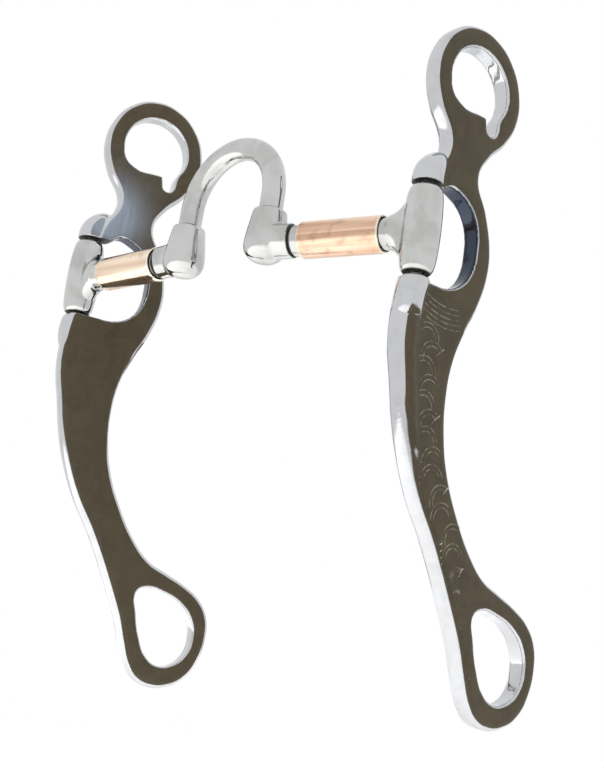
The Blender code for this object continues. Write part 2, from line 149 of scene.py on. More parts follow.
class NodeSheet:
    """A node tree and the one method that adds nodes to it."""

    def __init__(self, tree: Any) -> None:
        """Start on an emptied tree."""
        self.tree = tree
        tree.nodes.clear()

    def node(self, kind: str, settings: dict[str, Any] | None = None,
             inputs: dict[str, Any] | None = None) -> Any:
        """Add a node, set it up, then feed its sockets.

        Args:
            kind: Blender's type name of the node.
            settings: Properties, which are set first.
            inputs: Socket name or identifier to a value or a wire.

        Returns:
            The node.
        """
        node = self.tree.nodes.new(kind)
        for key, value in (settings or {}).items():
            setattr(node, key, value)
        for key, value in (inputs or {}).items():
            socket = find_socket(node.inputs, key)
            if isinstance(value, Wire):
                self.tree.links.new(value.socket, socket)
            else:
                socket.default_value = value
        return node

    def math(self, operation: str, *values: Any) -> Wire:
        """Add one Math node fed by these numbers or wires."""
        inputs = dict(zip(("Value", "Value_001", "Value_002"), values))
        return self.wire("ShaderNodeMath", {"operation": operation}, inputs)

    def wire(self, kind: str, settings: dict[str, Any] | None = None,
             inputs: dict[str, Any] | None = None, output: str = "") -> Wire:
        """Add a node and take one of its outputs.

        Args:
            kind: Blender's type name of the node.
            settings: As for node().
            inputs: As for node().
            output: Name or identifier of the output, or the first one.

        Returns:
            The output's wire.
        """
        node = self.node(kind, settings, inputs)
        return Wire(self, find_socket(node.outputs, output) if output else node.outputs[0])

    def close_blend(self, kind: str, share: Wire, first: Wire, second: Wire) -> None:
        """End the sheet with a blend of two shaders.

        Args:
            kind: Type name of the output node.
            share: 0 shows the first and 1 the second.
            first: Shader.
            second: Shader.
        """
        both = self.wire("ShaderNodeMixShader", None,
                         {"Fac": share, "Shader": first, "Shader_001": second})
        self.node(kind, None, {"Surface": both})


class ShaderSheet(NodeSheet):
    """The node sheet of one material."""

    def __init__(self, name: str) -> None:
        """Make the material and an empty sheet for it."""
        self.material = bpy.data.materials.new(name)
        self.material.use_nodes = True
        super().__init__(self.material.node_tree)

    def place(self) -> Wire:
        """Object coordinates, in metres in the row frame."""
        return self.wire("ShaderNodeTexCoord", output="Object")

    def stretched(self, where: Wire, stretch: tuple[float, float, float]) -> Wire:
        """Coordinates, stretched."""
        return self.wire("ShaderNodeMapping", {"vector_type": "POINT"},
                         {"Vector": where, "Scale": stretch})

    def unwrapped(self, name: str, stretch: tuple[float, float, float]) -> Wire:
        """A piece's own UV map, stretched."""
        return self.stretched(self.wire("ShaderNodeUVMap", {"uv_map": name}), stretch)

    def attribute(self, name: str) -> Wire:
        """A number kept on the mesh."""
        return self.wire("ShaderNodeAttribute", {"attribute_name": name}, output="Fac")

    def noise(self, where: Wire, scale: float, detail: float = 2.0, rough: float = 0.5,
              warp: float = 0.0) -> Wire:
        """Soft noise between 0 and 1.

        Args:
            where: Coordinates.
            scale: Cells per unit of them.
            detail: Octaves.
            rough: Share kept from one octave to the next.
            warp: Distortion.

        Returns:
            The noise's value.
        """
        return self.wire("ShaderNodeTexNoise", None,
                         {"Vector": where, "Scale": scale, "Detail": detail, "Roughness": rough,
                          "Distortion": warp}, "Fac")

    def pits(self, where: Wire, scale: float, size: float) -> Wire:
        """Scattered small pits: 1 inside a pit and 0 outside."""
        distance = self.wire("ShaderNodeTexVoronoi", {"feature": "F1"},
                             {"Vector": where, "Scale": scale, "Randomness": 1.0}, "Distance")
        return 1 - distance.step(size * 0.5, size)

    def mix(self, mask: Any, low: Any, high: Any) -> Wire:
        """Mix two colours.

        Args:
            mask: 0 gives low and 1 gives high.
            low: Colour or wire.
            high: Colour or wire.

        Returns:
            The mixed colour.
        """
        ends = [(*c, 1.0) if isinstance(c, tuple) else c for c in (low, high)]
        return self.wire("ShaderNodeMix", {"data_type": "RGBA", "clamp_factor": True},
                         {"Factor_Float": mask, "A_Color": ends[0], "B_Color": ends[1]},
                         "Result_Color")

    def relief(self, height: Wire, depth: float) -> Wire:
        """Turn a height into a bumped normal.

        Args:
            height: Height between 0 and 1.
            depth: What a height of 1 stands for, in metres.

        Returns:
            The normal.
        """
        return self.wire("ShaderNodeBump", None,
                         {"Height": height, "Distance": depth, "Strength": 1.0}, "Normal")

    def surface(self, **sockets: Any) -> bpy.types.Material:
        """Close the sheet with a Principled shader.

        Args:
            **sockets: Socket name with _ for each space, to a value or a wire.

        Returns:
            The finished material.
        """
        inputs = {key.replace("_", " "): value for key, value in sockets.items()}
        shader = self.wire("ShaderNodeBsdfPrincipled", None, inputs, "BSDF")
        self.node("ShaderNodeOutputMaterial", None, {"Surface": shader})
        return self.material


# ---------------------------------------------------------------------------------------------
# Finishes
# ---------------------------------------------------------------------------------------------

@dataclass(frozen=True)
class PolishedSteel:
    """Stainless steel, buffed bright, with the faint waves and pin-pricks of a casting."""

    bright: Colour = (0.56, 0.57, 0.56)
    dull: Colour = (0.40, 0.405, 0.395)
    # The colour below is painted shade, near black, laid where the mesh marks the gaps between parts.
    gap_shade_colour: Colour = (0.016, 0.014, 0.011)
    smooth: float = 0.06
    handled: float = 0.15
    wave_depth: float = 0.00016

    def material(self, name: str) -> bpy.types.Material:
        """Build the material under this name."""
        sheet = ShaderSheet(name)
        where = sheet.place()
        cloud = sheet.noise(where, 95, 3, 0.55, 0.6).step(0.38, 0.68)
        wave = sheet.noise(where, 130, 1, 0.4, 0.4)
        hair = sheet.noise(where, 2600, 2, 0.6)
        prick = sheet.pits(where, 700, 0.08)
        # Painted shade: where the mesh marks the gaps between parts, the steel turns near black, matte
        # and less metallic.
        painted_gap_shade = sheet.attribute("painted_gap_shade")
        colour = sheet.mix(cloud * 0.7 + prick * 0.3, self.bright, self.dull)
        rough = cloud * (self.handled - self.smooth) + self.smooth + prick * 0.15
        height = wave + hair * 0.02 - prick * 0.10
        return sheet.surface(Base_Color=sheet.mix(painted_gap_shade, colour, self.gap_shade_colour),
                             Metallic=1 - painted_gap_shade * 0.9, Roughness=rough + painted_gap_shade * 0.5,
                             Normal=sheet.relief(height, self.wave_depth))


@dataclass(frozen=True)
class AntiquedPlate:
    """Brown antiqued flats, rubbed back to bright steel where the edges round over."""

    patina: Colour = (0.068, 0.053, 0.029)
    shade: Colour = (0.040, 0.032, 0.018)
    speck: Colour = (0.088, 0.076, 0.055)
    rust: Colour = (0.056, 0.033, 0.019)
    bright: Colour = (0.56, 0.57, 0.59)
    worn: Colour = (0.42, 0.42, 0.42)
    # The dark blue-grey below is painted shade on the walls inside the window.
    dark_tone: Colour = (0.045, 0.055, 0.075)
    # The pale blue-grey below is a painted sheen on the inner face by the neck.
    painted_sheen: Colour = (0.24, 0.28, 0.34)
    # The colour below is painted shade, near black, laid in the hinge gaps between boss and barrel.
    gap_shade_colour: Colour = (0.014, 0.012, 0.009)

    def material(self, name: str) -> bpy.types.Material:
        """Build the material under this name."""
        sheet = ShaderSheet(name)
        where = sheet.place()
        # The second attribute marks painted shade in the hinge gaps.
        flat, painted_gap_shade = sheet.attribute("patina"), sheet.attribute("painted_gap_shade")
        blotch = sheet.noise(where, 120, 4, 0.6, 0.8)
        grain = sheet.noise(where, 2300, 3, 0.65)
        crumb = sheet.noise(where, 5200, 1, 0.5)
        wave = sheet.noise(where, 110, 1, 0.4, 0.4)
        ruddy = sheet.noise(where, 210, 2, 0.5, 0.3)
        brown = sheet.mix(blotch.step(0.36, 0.72) * 0.6, self.patina, self.shade)
        brown = sheet.mix(ruddy.step(0.55, 0.75) * 0.6, brown, self.rust)
        brown = sheet.mix(grain.step(0.54, 0.74) * 0.55, brown, self.speck)
        brown = sheet.mix(crumb.step(0.60, 0.75) * 0.30, brown, self.shade)
        steel = sheet.mix(blotch.step(0.42, 0.72) * 0.4, self.bright, self.worn)
        # Painted shade: the window's inner walls take the dark blue-grey.
        steel = sheet.mix(sheet.attribute("dark_tone"), steel, self.dark_tone)
        mask = (flat + (grain - 0.5) * 0.30).step(0.30, 0.72)
        rough = mask * 0.34 + 0.07 + blotch.step(0.4, 0.7) * 0.04 + painted_gap_shade * 0.4
        height = wave * (1 - mask) + grain * mask * 0.10
        streak = sheet.noise(sheet.stretched(where, (1, 1, 0.12)), 900, 2, 0.5)
        # Painted sheen: the brown turns pale blue-grey where the mesh marks the inner face by the neck.
        brown = sheet.mix(sheet.attribute("painted_sheen"), brown, self.painted_sheen)
        brown = sheet.mix(streak.step(0.45, 0.8) * 0.25, brown, self.shade)
        colour = sheet.mix(mask, steel, brown)
        # Painted shade in the hinge gaps turns the colour near black and lowers the metal.
        return sheet.surface(Base_Color=sheet.mix(painted_gap_shade, colour, self.gap_shade_colour),
                             Metallic=(1 - mask * 0.55) * (1 - painted_gap_shade * 0.9), Roughness=rough,
                             Normal=sheet.relief(height, 0.00018))


@dataclass(frozen=True)
class RolledCopper:
    """Copper sleeve, worn smooth in bands along its length, with a painted highlight at its rolled rims.
    """

    light: Colour = (0.82, 0.60, 0.45)
    body: Colour = (0.58, 0.36, 0.24)
    brown: Colour = (0.32, 0.19, 0.12)
    # The near-white below is a painted highlight on the rolled rims.
    rim: Colour = (0.95, 0.88, 0.80)

    def material(self, name: str) -> bpy.types.Material:
        """Build the material under this name."""
        sheet = ShaderSheet(name)
        bands = sheet.unwrapped("sleeve", (0.35, 9.0, 1.0))
        fine = sheet.unwrapped("sleeve", (0.8, 60.0, 1.0))
        turned = sheet.unwrapped("sleeve", (90.0, 1.5, 1.0))
        band = sheet.noise(bands, 1.0, 2, 0.5)
        line = sheet.noise(fine, 1.0, 2, 0.6)
        scratch = sheet.noise(turned, 1.6, 3, 0.7)
        blot = sheet.noise(sheet.place(), 260, 2, 0.5)
        # Painted highlight: the rims turn near white.
        rim = sheet.attribute("rim").step(0.2, 0.9)
        colour = sheet.mix(band.step(0.35, 0.65), self.body, self.light)
        colour = sheet.mix(blot.step(0.52, 0.75) * 0.45 + line.step(0.5, 0.8) * 0.35, colour, self.brown)
        rough = blot.step(0.4, 0.7) * 0.06 + scratch * 0.05 + 0.10
        height = line * 0.7 + scratch * 0.3
        return sheet.surface(Base_Color=sheet.mix(rim, colour, self.rim),
                             Metallic=1.0, Roughness=rough,
                             Normal=sheet.relief(height, 0.000015))


@dataclass(frozen=True)
class TurnedSteel:
    """Plain lathe-turned steel of the pins, washers and plugs."""

    light: Colour = (0.52, 0.52, 0.50)
    dark: Colour = (0.30, 0.29, 0.27)

    def material(self, name: str) -> bpy.types.Material:
        """Build the material under this name."""
        sheet = ShaderSheet(name)
        where = sheet.place()
        tool = sheet.noise(sheet.stretched(where, (1, 1, 9)), 520, 2, 0.6)
        dark_tone = sheet.noise(where, 300, 3, 0.6)
        colour = sheet.mix(dark_tone.step(0.35, 0.70), self.light, self.dark)
        return sheet.surface(Base_Color=colour, Metallic=1.0, Roughness=tool * 0.15 + 0.2,
                             Normal=sheet.relief(tool, 0.00003))


@dataclass(frozen=True)
class CutLine:
    """Engraver's cuts: a bright facet, browned where the antiquing has stayed."""

    bright: Colour = (0.55, 0.50, 0.40)
    dark: Colour = (0.07, 0.056, 0.04)
    shown: float = 0.5
    metal: float = 0.35

    def material(self, name: str) -> bpy.types.Material:
        """Build the material under this name."""
        sheet = ShaderSheet(name)
        where = sheet.place()
        kept = sheet.noise(where, 650, 3, 0.6)
        mask = kept.step(0.62 - 0.5 * self.shown, 0.86 - 0.5 * self.shown)
        return sheet.surface(Base_Color=sheet.mix(mask, self.dark, self.bright), Metallic=self.metal,
                             Roughness=0.48 - mask * 0.2)


# ---------------------------------------------------------------------------------------------
# Solids, in millimetres
# ---------------------------------------------------------------------------------------------

def link(name: str, data: Any) -> bpy.types.Object:
    """Add an object to the scene."""
    obj = bpy.data.objects.new(name, data)
    bpy.context.scene.collection.objects.link(obj)
    return obj


def seat(piece: bpy.types.Object, body: str, node: str) -> None:
    """Let a piece ride on a body and stand for its CAD node."""
    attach(piece, body)
    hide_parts(node)


def settle(obj: bpy.types.Object) -> bpy.types.Object:
    """Turn an object with modifiers, or a curve, into a plain mesh.

    Args:
        obj: The object; it is removed.

    Returns:
        A new object of the same name, with no modifiers.
    """
    bpy.context.view_layer.update()
    graph = bpy.context.evaluated_depsgraph_get()
    mesh = bpy.data.meshes.new_from_object(obj.evaluated_get(graph))
    name = obj.name
    bpy.data.objects.remove(obj, do_unlink=True)
    return link(name, mesh)


def arc(start: float, end: float, centre: Point, radii: Point, steps: int) -> list[Point]:
    """Points on an ellipse.

    Args:
        start: First angle, in degrees.
        end: Last angle.
        centre: Its centre.
        radii: Half its width and half its height.
        steps: Spans between the points.

    Returns:
        The points, both ends included.
    """
    turns = [math.radians(start + (end - start) * i / steps) for i in range(steps + 1)]
    return [(centre[0] + radii[0] * math.cos(t), centre[1] + radii[1] * math.sin(t))
            for t in turns]


def shares(count: int) -> list[float]:
    """Even shares from 0 to 1, both included."""
    return [i / (count - 1) for i in range(count)]


def faired(points: Sequence[Point], spans: int = 5) -> list[Point]:
    """Pass a smooth curve through a profile's points.

    Args:
        points: The profile.
        spans: New spans for each old one.

    Returns:
        The denser profile.
    """
    ends = [points[0], *points, points[-1]]
    out: list[Point] = []
    for p0, p1, p2, p3 in zip(ends, ends[1:], ends[2:], ends[3:]):
        for i in range(spans):
            t = i / spans
            out.append(tuple(
                0.5 * (2 * b + (c - a) * t + (2 * a - 5 * b + 4 * c - d) * t * t
                       + (3 * b - a - 3 * c + d) * t ** 3)
                for a, b, c, d in zip(p0, p1, p2, p3)))
    return [(max(0.0, r), z) for r, z in out] + [points[-1]]


class Solid:
    """A closed mesh in millimetres that is joined, cut and skinned."""

    STEPS = 72

    def __init__(self, obj: bpy.types.Object) -> None:
        """Hold the mesh object."""
        self.obj = obj

    @classmethod
    def closed(cls, name: str, bm: bmesh.types.BMesh) -> "Solid":
        """Close up a bmesh and turn its faces outward."""
        bmesh.ops.remove_doubles(bm, verts=bm.verts, dist=0.001)
        bmesh.ops.recalc_face_normals(bm, faces=bm.faces)
        mesh = bpy.data.meshes.new(name)
        bm.to_mesh(mesh)
        bm.free()
        return cls(link(name, mesh))

    @classmethod
    def turned(cls, name: str, profile: Sequence[Point], axis: str = "Z") -> "Solid":
        """Spin a profile.

        Args:
            name: Name of the solid.
            profile: Pairs of (radius, place along the axis).
            axis: "Z", or "X" to lay it along the bar.

        Returns:
            The solid.
        """
        bm = bmesh.new()
        verts = [bm.verts.new((r, 0, z)) for r, z in profile]
        edges = [bm.edges.new(pair) for pair in zip(verts, verts[1:])]
        bmesh.ops.spin(bm, geom=verts + edges, cent=(0, 0, 0), axis=(0, 0, 1),
                       angle=math.tau, steps=cls.STEPS, use_merge=False)
        solid = cls.closed(name, bm)
        if axis == "X":
            solid.obj.data.transform(Matrix.Rotation(math.radians(90), 4, "Y"))
        return solid

    @classmethod
    def lofted(cls, name: str, rings: Sequence[Sequence[Vector]]) -> "Solid":
        """Skin a row of rings and cap both ends."""
        bm = bmesh.new()
        rows = [[bm.verts.new(p) for p in ring] for ring in rings]
        for row, following in zip(rows, rows[1:]):
            for i in range(len(row)):
                j = (i + 1) % len(row)
                bm.faces.new((row[i], row[j], following[j], following[i]))
        bm.faces.new(rows[0])
        bm.faces.new(reversed(rows[-1]))
        return cls.closed(name, bm)

    @classmethod
    def plate(cls, name: str, outline: Sequence[Point], half: float, edge: float = 0.0,
              corners: Sequence[int] = ()) -> "Solid":
        """Cut a plate to a smooth closed outline.

        Args:
            name: Name of the solid.
            outline: Points (rear, up).
            half: Half the plate's thickness.
            edge: Radius that rounds both rims.
            corners: Indices of the points that stay sharp.

        Returns:
            The plate, standing across X.
        """
        curve = bpy.data.curves.new(name, "CURVE")
        curve.dimensions, curve.fill_mode, curve.resolution_u = "2D", "BOTH", 14
        curve.extrude, curve.bevel_depth, curve.bevel_resolution = half - edge, edge, 5
        curve.offset = -edge
        spline = curve.splines.new("BEZIER")
        spline.bezier_points.add(len(outline) - 1)
        spline.use_cyclic_u = True
        for i, (point, (rear, up)) in enumerate(zip(spline.bezier_points, outline)):
            point.co = (rear, up, 0)
            point.handle_left_type = point.handle_right_type = "VECTOR" if i in corners else "AUTO"
        obj = settle(link(name, curve))
        bm = bmesh.new()
        bm.from_mesh(obj.data)
        bpy.data.objects.remove(obj)
        turn = Matrix(((0, 0, 1, 0), (1, 0, 0, 0), (0, 1, 0, 0), (0, 0, 0, 1)))
        bmesh.ops.transform(bm, matrix=turn, verts=bm.verts)
        return cls.closed(name, bm)

    def moved(self, x: float = 0.0, y: float = 0.0, z: float = 0.0) -> "Solid":
        """Shift by these distances."""
        self.obj.data.transform(Matrix.Translation((x, y, z)))
        return self

    def _with(self, other: "Solid", operation: str) -> "Solid":
        """Apply one exact Boolean and use the other solid up."""
        modifier = self.obj.modifiers.new(operation.title(), "BOOLEAN")
        modifier.operation, modifier.object = operation, other.obj
        modifier.solver = "EXACT"
        self.obj = settle(self.obj)
        bpy.data.objects.remove(other.obj, do_unlink=True)
        return self

    def join(self, other: "Solid") -> "Solid":
        """Weld another solid on."""
        return self._with(other, "UNION")

    def cut(self, other: "Solid") -> "Solid":
        """Cut another solid away."""
        return self._with(other, "DIFFERENCE")

    def bore(self, radius: float, start: float, end: float, axis: str = "Z",
             shift: Point = (0.0, 0.0)) -> "Solid":
        """Drill a round hole.

        Args:
            radius: Its radius.
            start: Where it starts along the axis.
            end: Where it ends.
            axis: "Z" or "X".
            shift: Shift of the bore along X and Z.

        Returns:
            This solid.
        """
        tool = Solid.turned("bore", [(0, start), (radius, start), (radius, end), (0, end)], axis)
        tool.obj.data.transform(Matrix.Rotation(math.radians(1.7), 4, axis))
        return self.cut(tool.moved(shift[0], 0, shift[1]))

    def skinned(self, cell: float, passes: int) -> "Solid":
        """Remesh to an even skin and ease it, so that every join gets a cast fillet.

        Args:
            cell: Size of a face.
            passes: Easing passes; each rounds the rims a little more.

        Returns:
            This solid.
        """
        remesh = self.obj.modifiers.new("Skin", "REMESH")
        remesh.mode, remesh.voxel_size, remesh.use_smooth_shade = "VOXEL", cell, True
        self.obj = settle(self.obj)
        return self.eased(passes, np.ones(len(self.obj.data.vertices)))

    def eased(self, passes: int, share: np.ndarray) -> "Solid":
        """Ease the skin where a share for each vertex says so."""
        group = self.obj.vertex_groups.new(name="ease")
        level = np.rint(np.clip(share, 0, 1) * 8).astype(int)
        for step in range(1, 9):
            group.add(np.flatnonzero(level == step).tolist(), step / 8, "REPLACE")
        ease = self.obj.modifiers.new("Ease", "SMOOTH")
        ease.factor, ease.iterations, ease.vertex_group = 0.5, passes, "ease"
        self.obj = settle(self.obj)
        self.obj.vertex_groups.clear()
        return self

    def keep(self, name: str, values: np.ndarray) -> "Solid":
        """Keep a number on each vertex."""
        store = self.obj.data.attributes.new(name, "FLOAT", "POINT")
        store.data.foreach_set("value", np.clip(values, 0, 1).astype(np.float32))
        return self

    def rows(self, field_name: str) -> np.ndarray:
        """A vector of each vertex, as an array of rows."""
        out = np.empty(len(self.obj.data.vertices) * 3, np.float32)
        self.obj.data.vertices.foreach_get(field_name, out)
        return out.reshape(-1, 3)

    def normals(self) -> np.ndarray:
        """Vertex normals as an array of rows."""
        return self.rows("normal")

    def points(self) -> np.ndarray:
        """Vertex places as an array of rows."""
        return self.rows("co")

    def unwrap(self, name: str, u: np.ndarray, v: np.ndarray, turn: bool = False) -> "Solid":
        """Give the mesh a UV map from two numbers for each vertex.

        Args:
            name: Name of the map.
            u: First coordinate of each vertex.
            v: Second coordinate of each vertex.
            turn: True if v goes round once from 0 to 1, so that faces over the seam are mended.

        Returns:
            This solid.
        """
        mesh = self.obj.data
        corner = np.empty(len(mesh.loops), np.int32)
        mesh.loops.foreach_get("vertex_index", corner)
        uv = np.stack([u[corner], v[corner]], 1).astype(np.float32)
        if turn:
            for face in mesh.polygons:
                span = uv[face.loop_start:face.loop_start + face.loop_total, 1]
                if span.max() - span.min() > 0.5:
                    span[span < 0.5] += 1.0
        mesh.uv_layers.new(name=name).data.foreach_set("uv", uv.ravel())
        return self

    def placed(self, name: str, place: Matrix, material: bpy.types.Material,
               smooth_angle: float = 50.0) -> bpy.types.Object:
        """Finish the piece: name it, bring it to metres in the row frame and dress it.

        Args:
            name: Name of the piece.
            place: Its sub-assembly's place, in millimetres.
            material: Its finish.
            smooth_angle: Faces that meet at more than this many degrees keep a crease.

        Returns:
            The piece, at the origin.
        """
        mesh = self.obj.data
        mesh.transform(Matrix.Scale(MM, 4) @ place)
        mesh.materials.clear()
        mesh.materials.append(material)
        mesh.shade_smooth()
        mesh.set_sharp_from_angle(angle=math.radians(smooth_angle))
        self.obj.name = mesh.name = name
        LOG.info("%-24s %7d faces", name, len(mesh.polygons))
        return self.obj


# ---------------------------------------------------------------------------------------------
# Sides and places
# ---------------------------------------------------------------------------------------------

class Side(Enum):
    """The two sides of the bit."""

    RIGHT = "right"
    LEFT = "left"

    @property
    def outward(self) -> int:
        """Which way along a cheek's own X its outer face looks."""
        return 1 if self is Side.RIGHT else -1


@dataclass(frozen=True)
class Pose:
    """How each side stands, in degrees, and how far its roller has slid toward the cheek."""

    bar_turn: float
    cheek_turn: float
    roller_slide: float


POSES = {Side.RIGHT: Pose(11.5, -20.2, 0.6), Side.LEFT: Pose(179.15, -200.75, 0.25)}


@dataclass(frozen=True)
class Fits:
    """Sizes that more than one sub-assembly shares, in millimetres."""

    clearance: float = 0.3
    hinge_gap: float = 0.9
    hinge_rise: float = -0.9
    core_drop: float = 1.3
    port_width: float = 35.4
    bar_length: float = 51.2
    barrel_height: float = 25.8
    pin_radius: float = 2.0
    rod_radius: float = 3.6
    tenon_radius: float = 2.7
    knuckle_top: float = 8.9
    knuckle_foot: float = -6.9
    neck_length: float = 10.0

    @property
    def barrel_half(self) -> float:
        """Half the barrel's height."""
        return self.barrel_height / 2

    @property
    def boss_face(self) -> float:
        """Height of the boss face above the middle of the hinge."""
        return self.barrel_half + self.hinge_gap

    @property
    def pin_bore(self) -> float:
        """Radius of the bore for the hinge pin."""
        return self.pin_radius + self.clearance

    def bar_place(self, side: Side) -> Matrix:
        """Place of a bar's own frame: on the port leg, with X out to the cheek."""
        x = side.outward * self.port_width / 2
        turn = Matrix.Rotation(math.radians(POSES[side].bar_turn), 4, "Z")
        return Matrix.Translation((x, 0, 0)) @ turn

    def cheek_place(self, side: Side) -> Matrix:
        """Place of a cheek's own frame: on its hinge pin, with Y to the rear."""
        out = Matrix.Translation((self.bar_length, 0, 0))
        turn = Matrix.Rotation(math.radians(POSES[side].cheek_turn), 4, "Z")
        return self.bar_place(side) @ out @ turn


# ---------------------------------------------------------------------------------------------
# Cheek
# ---------------------------------------------------------------------------------------------

@dataclass(frozen=True)
class CheekSizes:
    """Sizes of the cheek plate, in millimetres, as (rear, up) from the hinge pin's middle."""

    half: float = 3.0
    edge: float = 1.9
    inset: float = 2.2
    setback: float = 1.9
    upper_boss: Point = (4.6, 10.8)
    upper_lean: float = 3.4
    lower_boss: Point = (4.4, 11.5)
    lower_bulge: Point = (-0.6, 0.9)
    lower_root: float = 3.6
    rib: float = 3.8
    rib_foot: float = -80.0
    rib_tail: float = 2.6
    pin_seat: float = 6.5
    window_depth: float = 19.4
    window_rise: float = 1.2
    ring_centre: Point = (13.5, 49.0)
    ring_outer: Point = (17.8, 19.6)
    ring_rim: float = 6.4
    tab_level: float = 41.5
    notch_level: float = 36.2
    shank_top: float = -24.0
    shank_drop: float = 68.0
    loop_centre: Point = (46.0, -112.0)

    def stations(self) -> list[tuple[float, float, float]]:
        """Rows of (level, front edge, rear edge) down the shank."""
        rows = ((0.00, -5.9, 19.6), (0.15, -5.6, 16.2), (0.30, -3.2, 15.2), (0.45, -0.7, 16.1),
                (0.60, 3.0, 18.9), (0.75, 8.2, 24.0), (0.90, 15.2, 31.2))
        return [(self.shank_top - s * self.shank_drop, front, rear) for s, front, rear in rows]

    def about_loop(self, points: Iterable[Point]) -> list[Point]:
        """Shift points from the rein loop's centre to the pin."""
        return [(self.loop_centre[0] + x, self.loop_centre[1] + z) for x, z in points]

    def loop_outline(self) -> list[Point]:
        """Outside of the rein loop, from the rear of its head round to the front."""
        return self.about_loop((
            (-9.0, 21.5), (-2.5, 18.8), (4.5, 16.0), (10.5, 12.3), (14.3, 7.0), (15.3, 0.5),
            (14.0, -7.0), (10.4, -13.6), (4.5, -17.6), (-2.0, -18.6), (-7.5, -16.9),
            (-11.3, -12.6), (-14.2, -6.0), (-17.0, 1.5), (-20.2, 8.0)))

    def loop_hole(self) -> list[Point]:
        """Opening of the rein loop."""
        return self.about_loop((
            (-11.6, 10.9), (-8.8, 12.8), (-2.5, 12.2), (4.0, 9.6), (8.5, 5.0), (9.9, -0.5),
            (8.6, -6.2), (4.6, -10.1), (-0.5, -11.3), (-4.9, -9.0), (-8.3, -3.2), (-10.6, 4.0)))

    def outline(self) -> list[Point]:
        """Outside of the whole plate."""
        depth = self.window_depth
        front = [(y, z) for z, y, _ in self.stations()]
        rear = [(y, z) for z, _, y in reversed(self.stations())]
        behind = [(depth + 3.6, -16.4), (depth + 6.4, -5.5), (depth + 6.1, 3.0),
                  (depth + 3.0, 12.6), (17.9, 22.0), (21.0, 29.2)]
        neck = [(3.9, 29.6), (3.6, 25.0), (0.5, 19.0), (-3.5, -6.0)]
        loop = list(reversed(self.loop_outline()))
        return arc(-42, 212, self.ring_centre, self.ring_outer, 9) + neck + front + loop + rear + behind

    def ring_hole(self) -> list[Point]:
        """Opening of the headstall ring, with the strap tab and the notch behind it."""
        x, z = self.ring_centre
        radii = (self.ring_outer[0] - self.ring_rim, self.ring_outer[1] - self.ring_rim - 1.4)
        tab = [(x + 4.0, self.tab_level), (x + 4.9, self.notch_level + 0.6),
               (x + 7.4, self.notch_level + 0.4)]
        return arc(-38, 212, (x + 0.1, z + 0.8), radii, 9) + [(x - 4.6, self.tab_level - 0.6)] + tab

    def window(self, boss_face: float) -> list[Point]:
        """Open-fronted window behind the hinge barrel."""
        centre, power = 4.6, 2 / 2.4
        back = []
        for i in range(11):
            angle = math.radians(84 - 168 * i / 10)
            rise = math.copysign(abs(math.sin(angle)) ** power, math.sin(angle))
            back.append((centre + (self.window_depth - centre) * math.cos(angle) ** power,
                         (boss_face + 1.2) * rise + self.window_rise))
        return [(-15, boss_face), (3.2, boss_face), (5.0, boss_face + self.window_rise), *back,
                (5.6, -boss_face), (-15, -boss_face)]

    def front_edge(self, level: float) -> float:
        """Front edge of the shank and of the rein loop's front bar at a level."""
        rows = [(z, y) for z, y, _ in self.stations()]
        rows += [(z, y) for y, z in reversed(self.loop_outline()[-5:])]
        levels, fronts = zip(*sorted(rows))
        return float(np.interp(level, levels, fronts))

    def rear_edge(self, level: float) -> float:
        """Rear edge of the shank at a level."""
        levels, rears = zip(*sorted((z, y) for z, _, y in self.stations()))
        return float(np.interp(level, levels, rears))


@dataclass(frozen=True)
class PatinaZones:
    """Where a cheek's colours change: levels and reaches in millimetres, normals as shares."""

    side_normal: float = 0.88
    rib_allowance: float = 0.14
    rib_head: float = 24.0
    rib_end: float = 62.0
    # Centre and reach of the painted sheen on the inner face.
    painted_sheen_centre: Point = (2.0, 22.0)
    painted_sheen_reach: Point = (10.0, 11.0)
    nose_top: float = 4.0
    nose_foot: float = -31.0
    nose_margin: float = 1.2
    wall_front: float = 3.5
    wall_margin: float = 2.5
    # Reach and margin of the painted shade round the hinge pin.
    painted_gap_shade_reach: float = 9.5
    painted_gap_shade_margin: float = 0.9


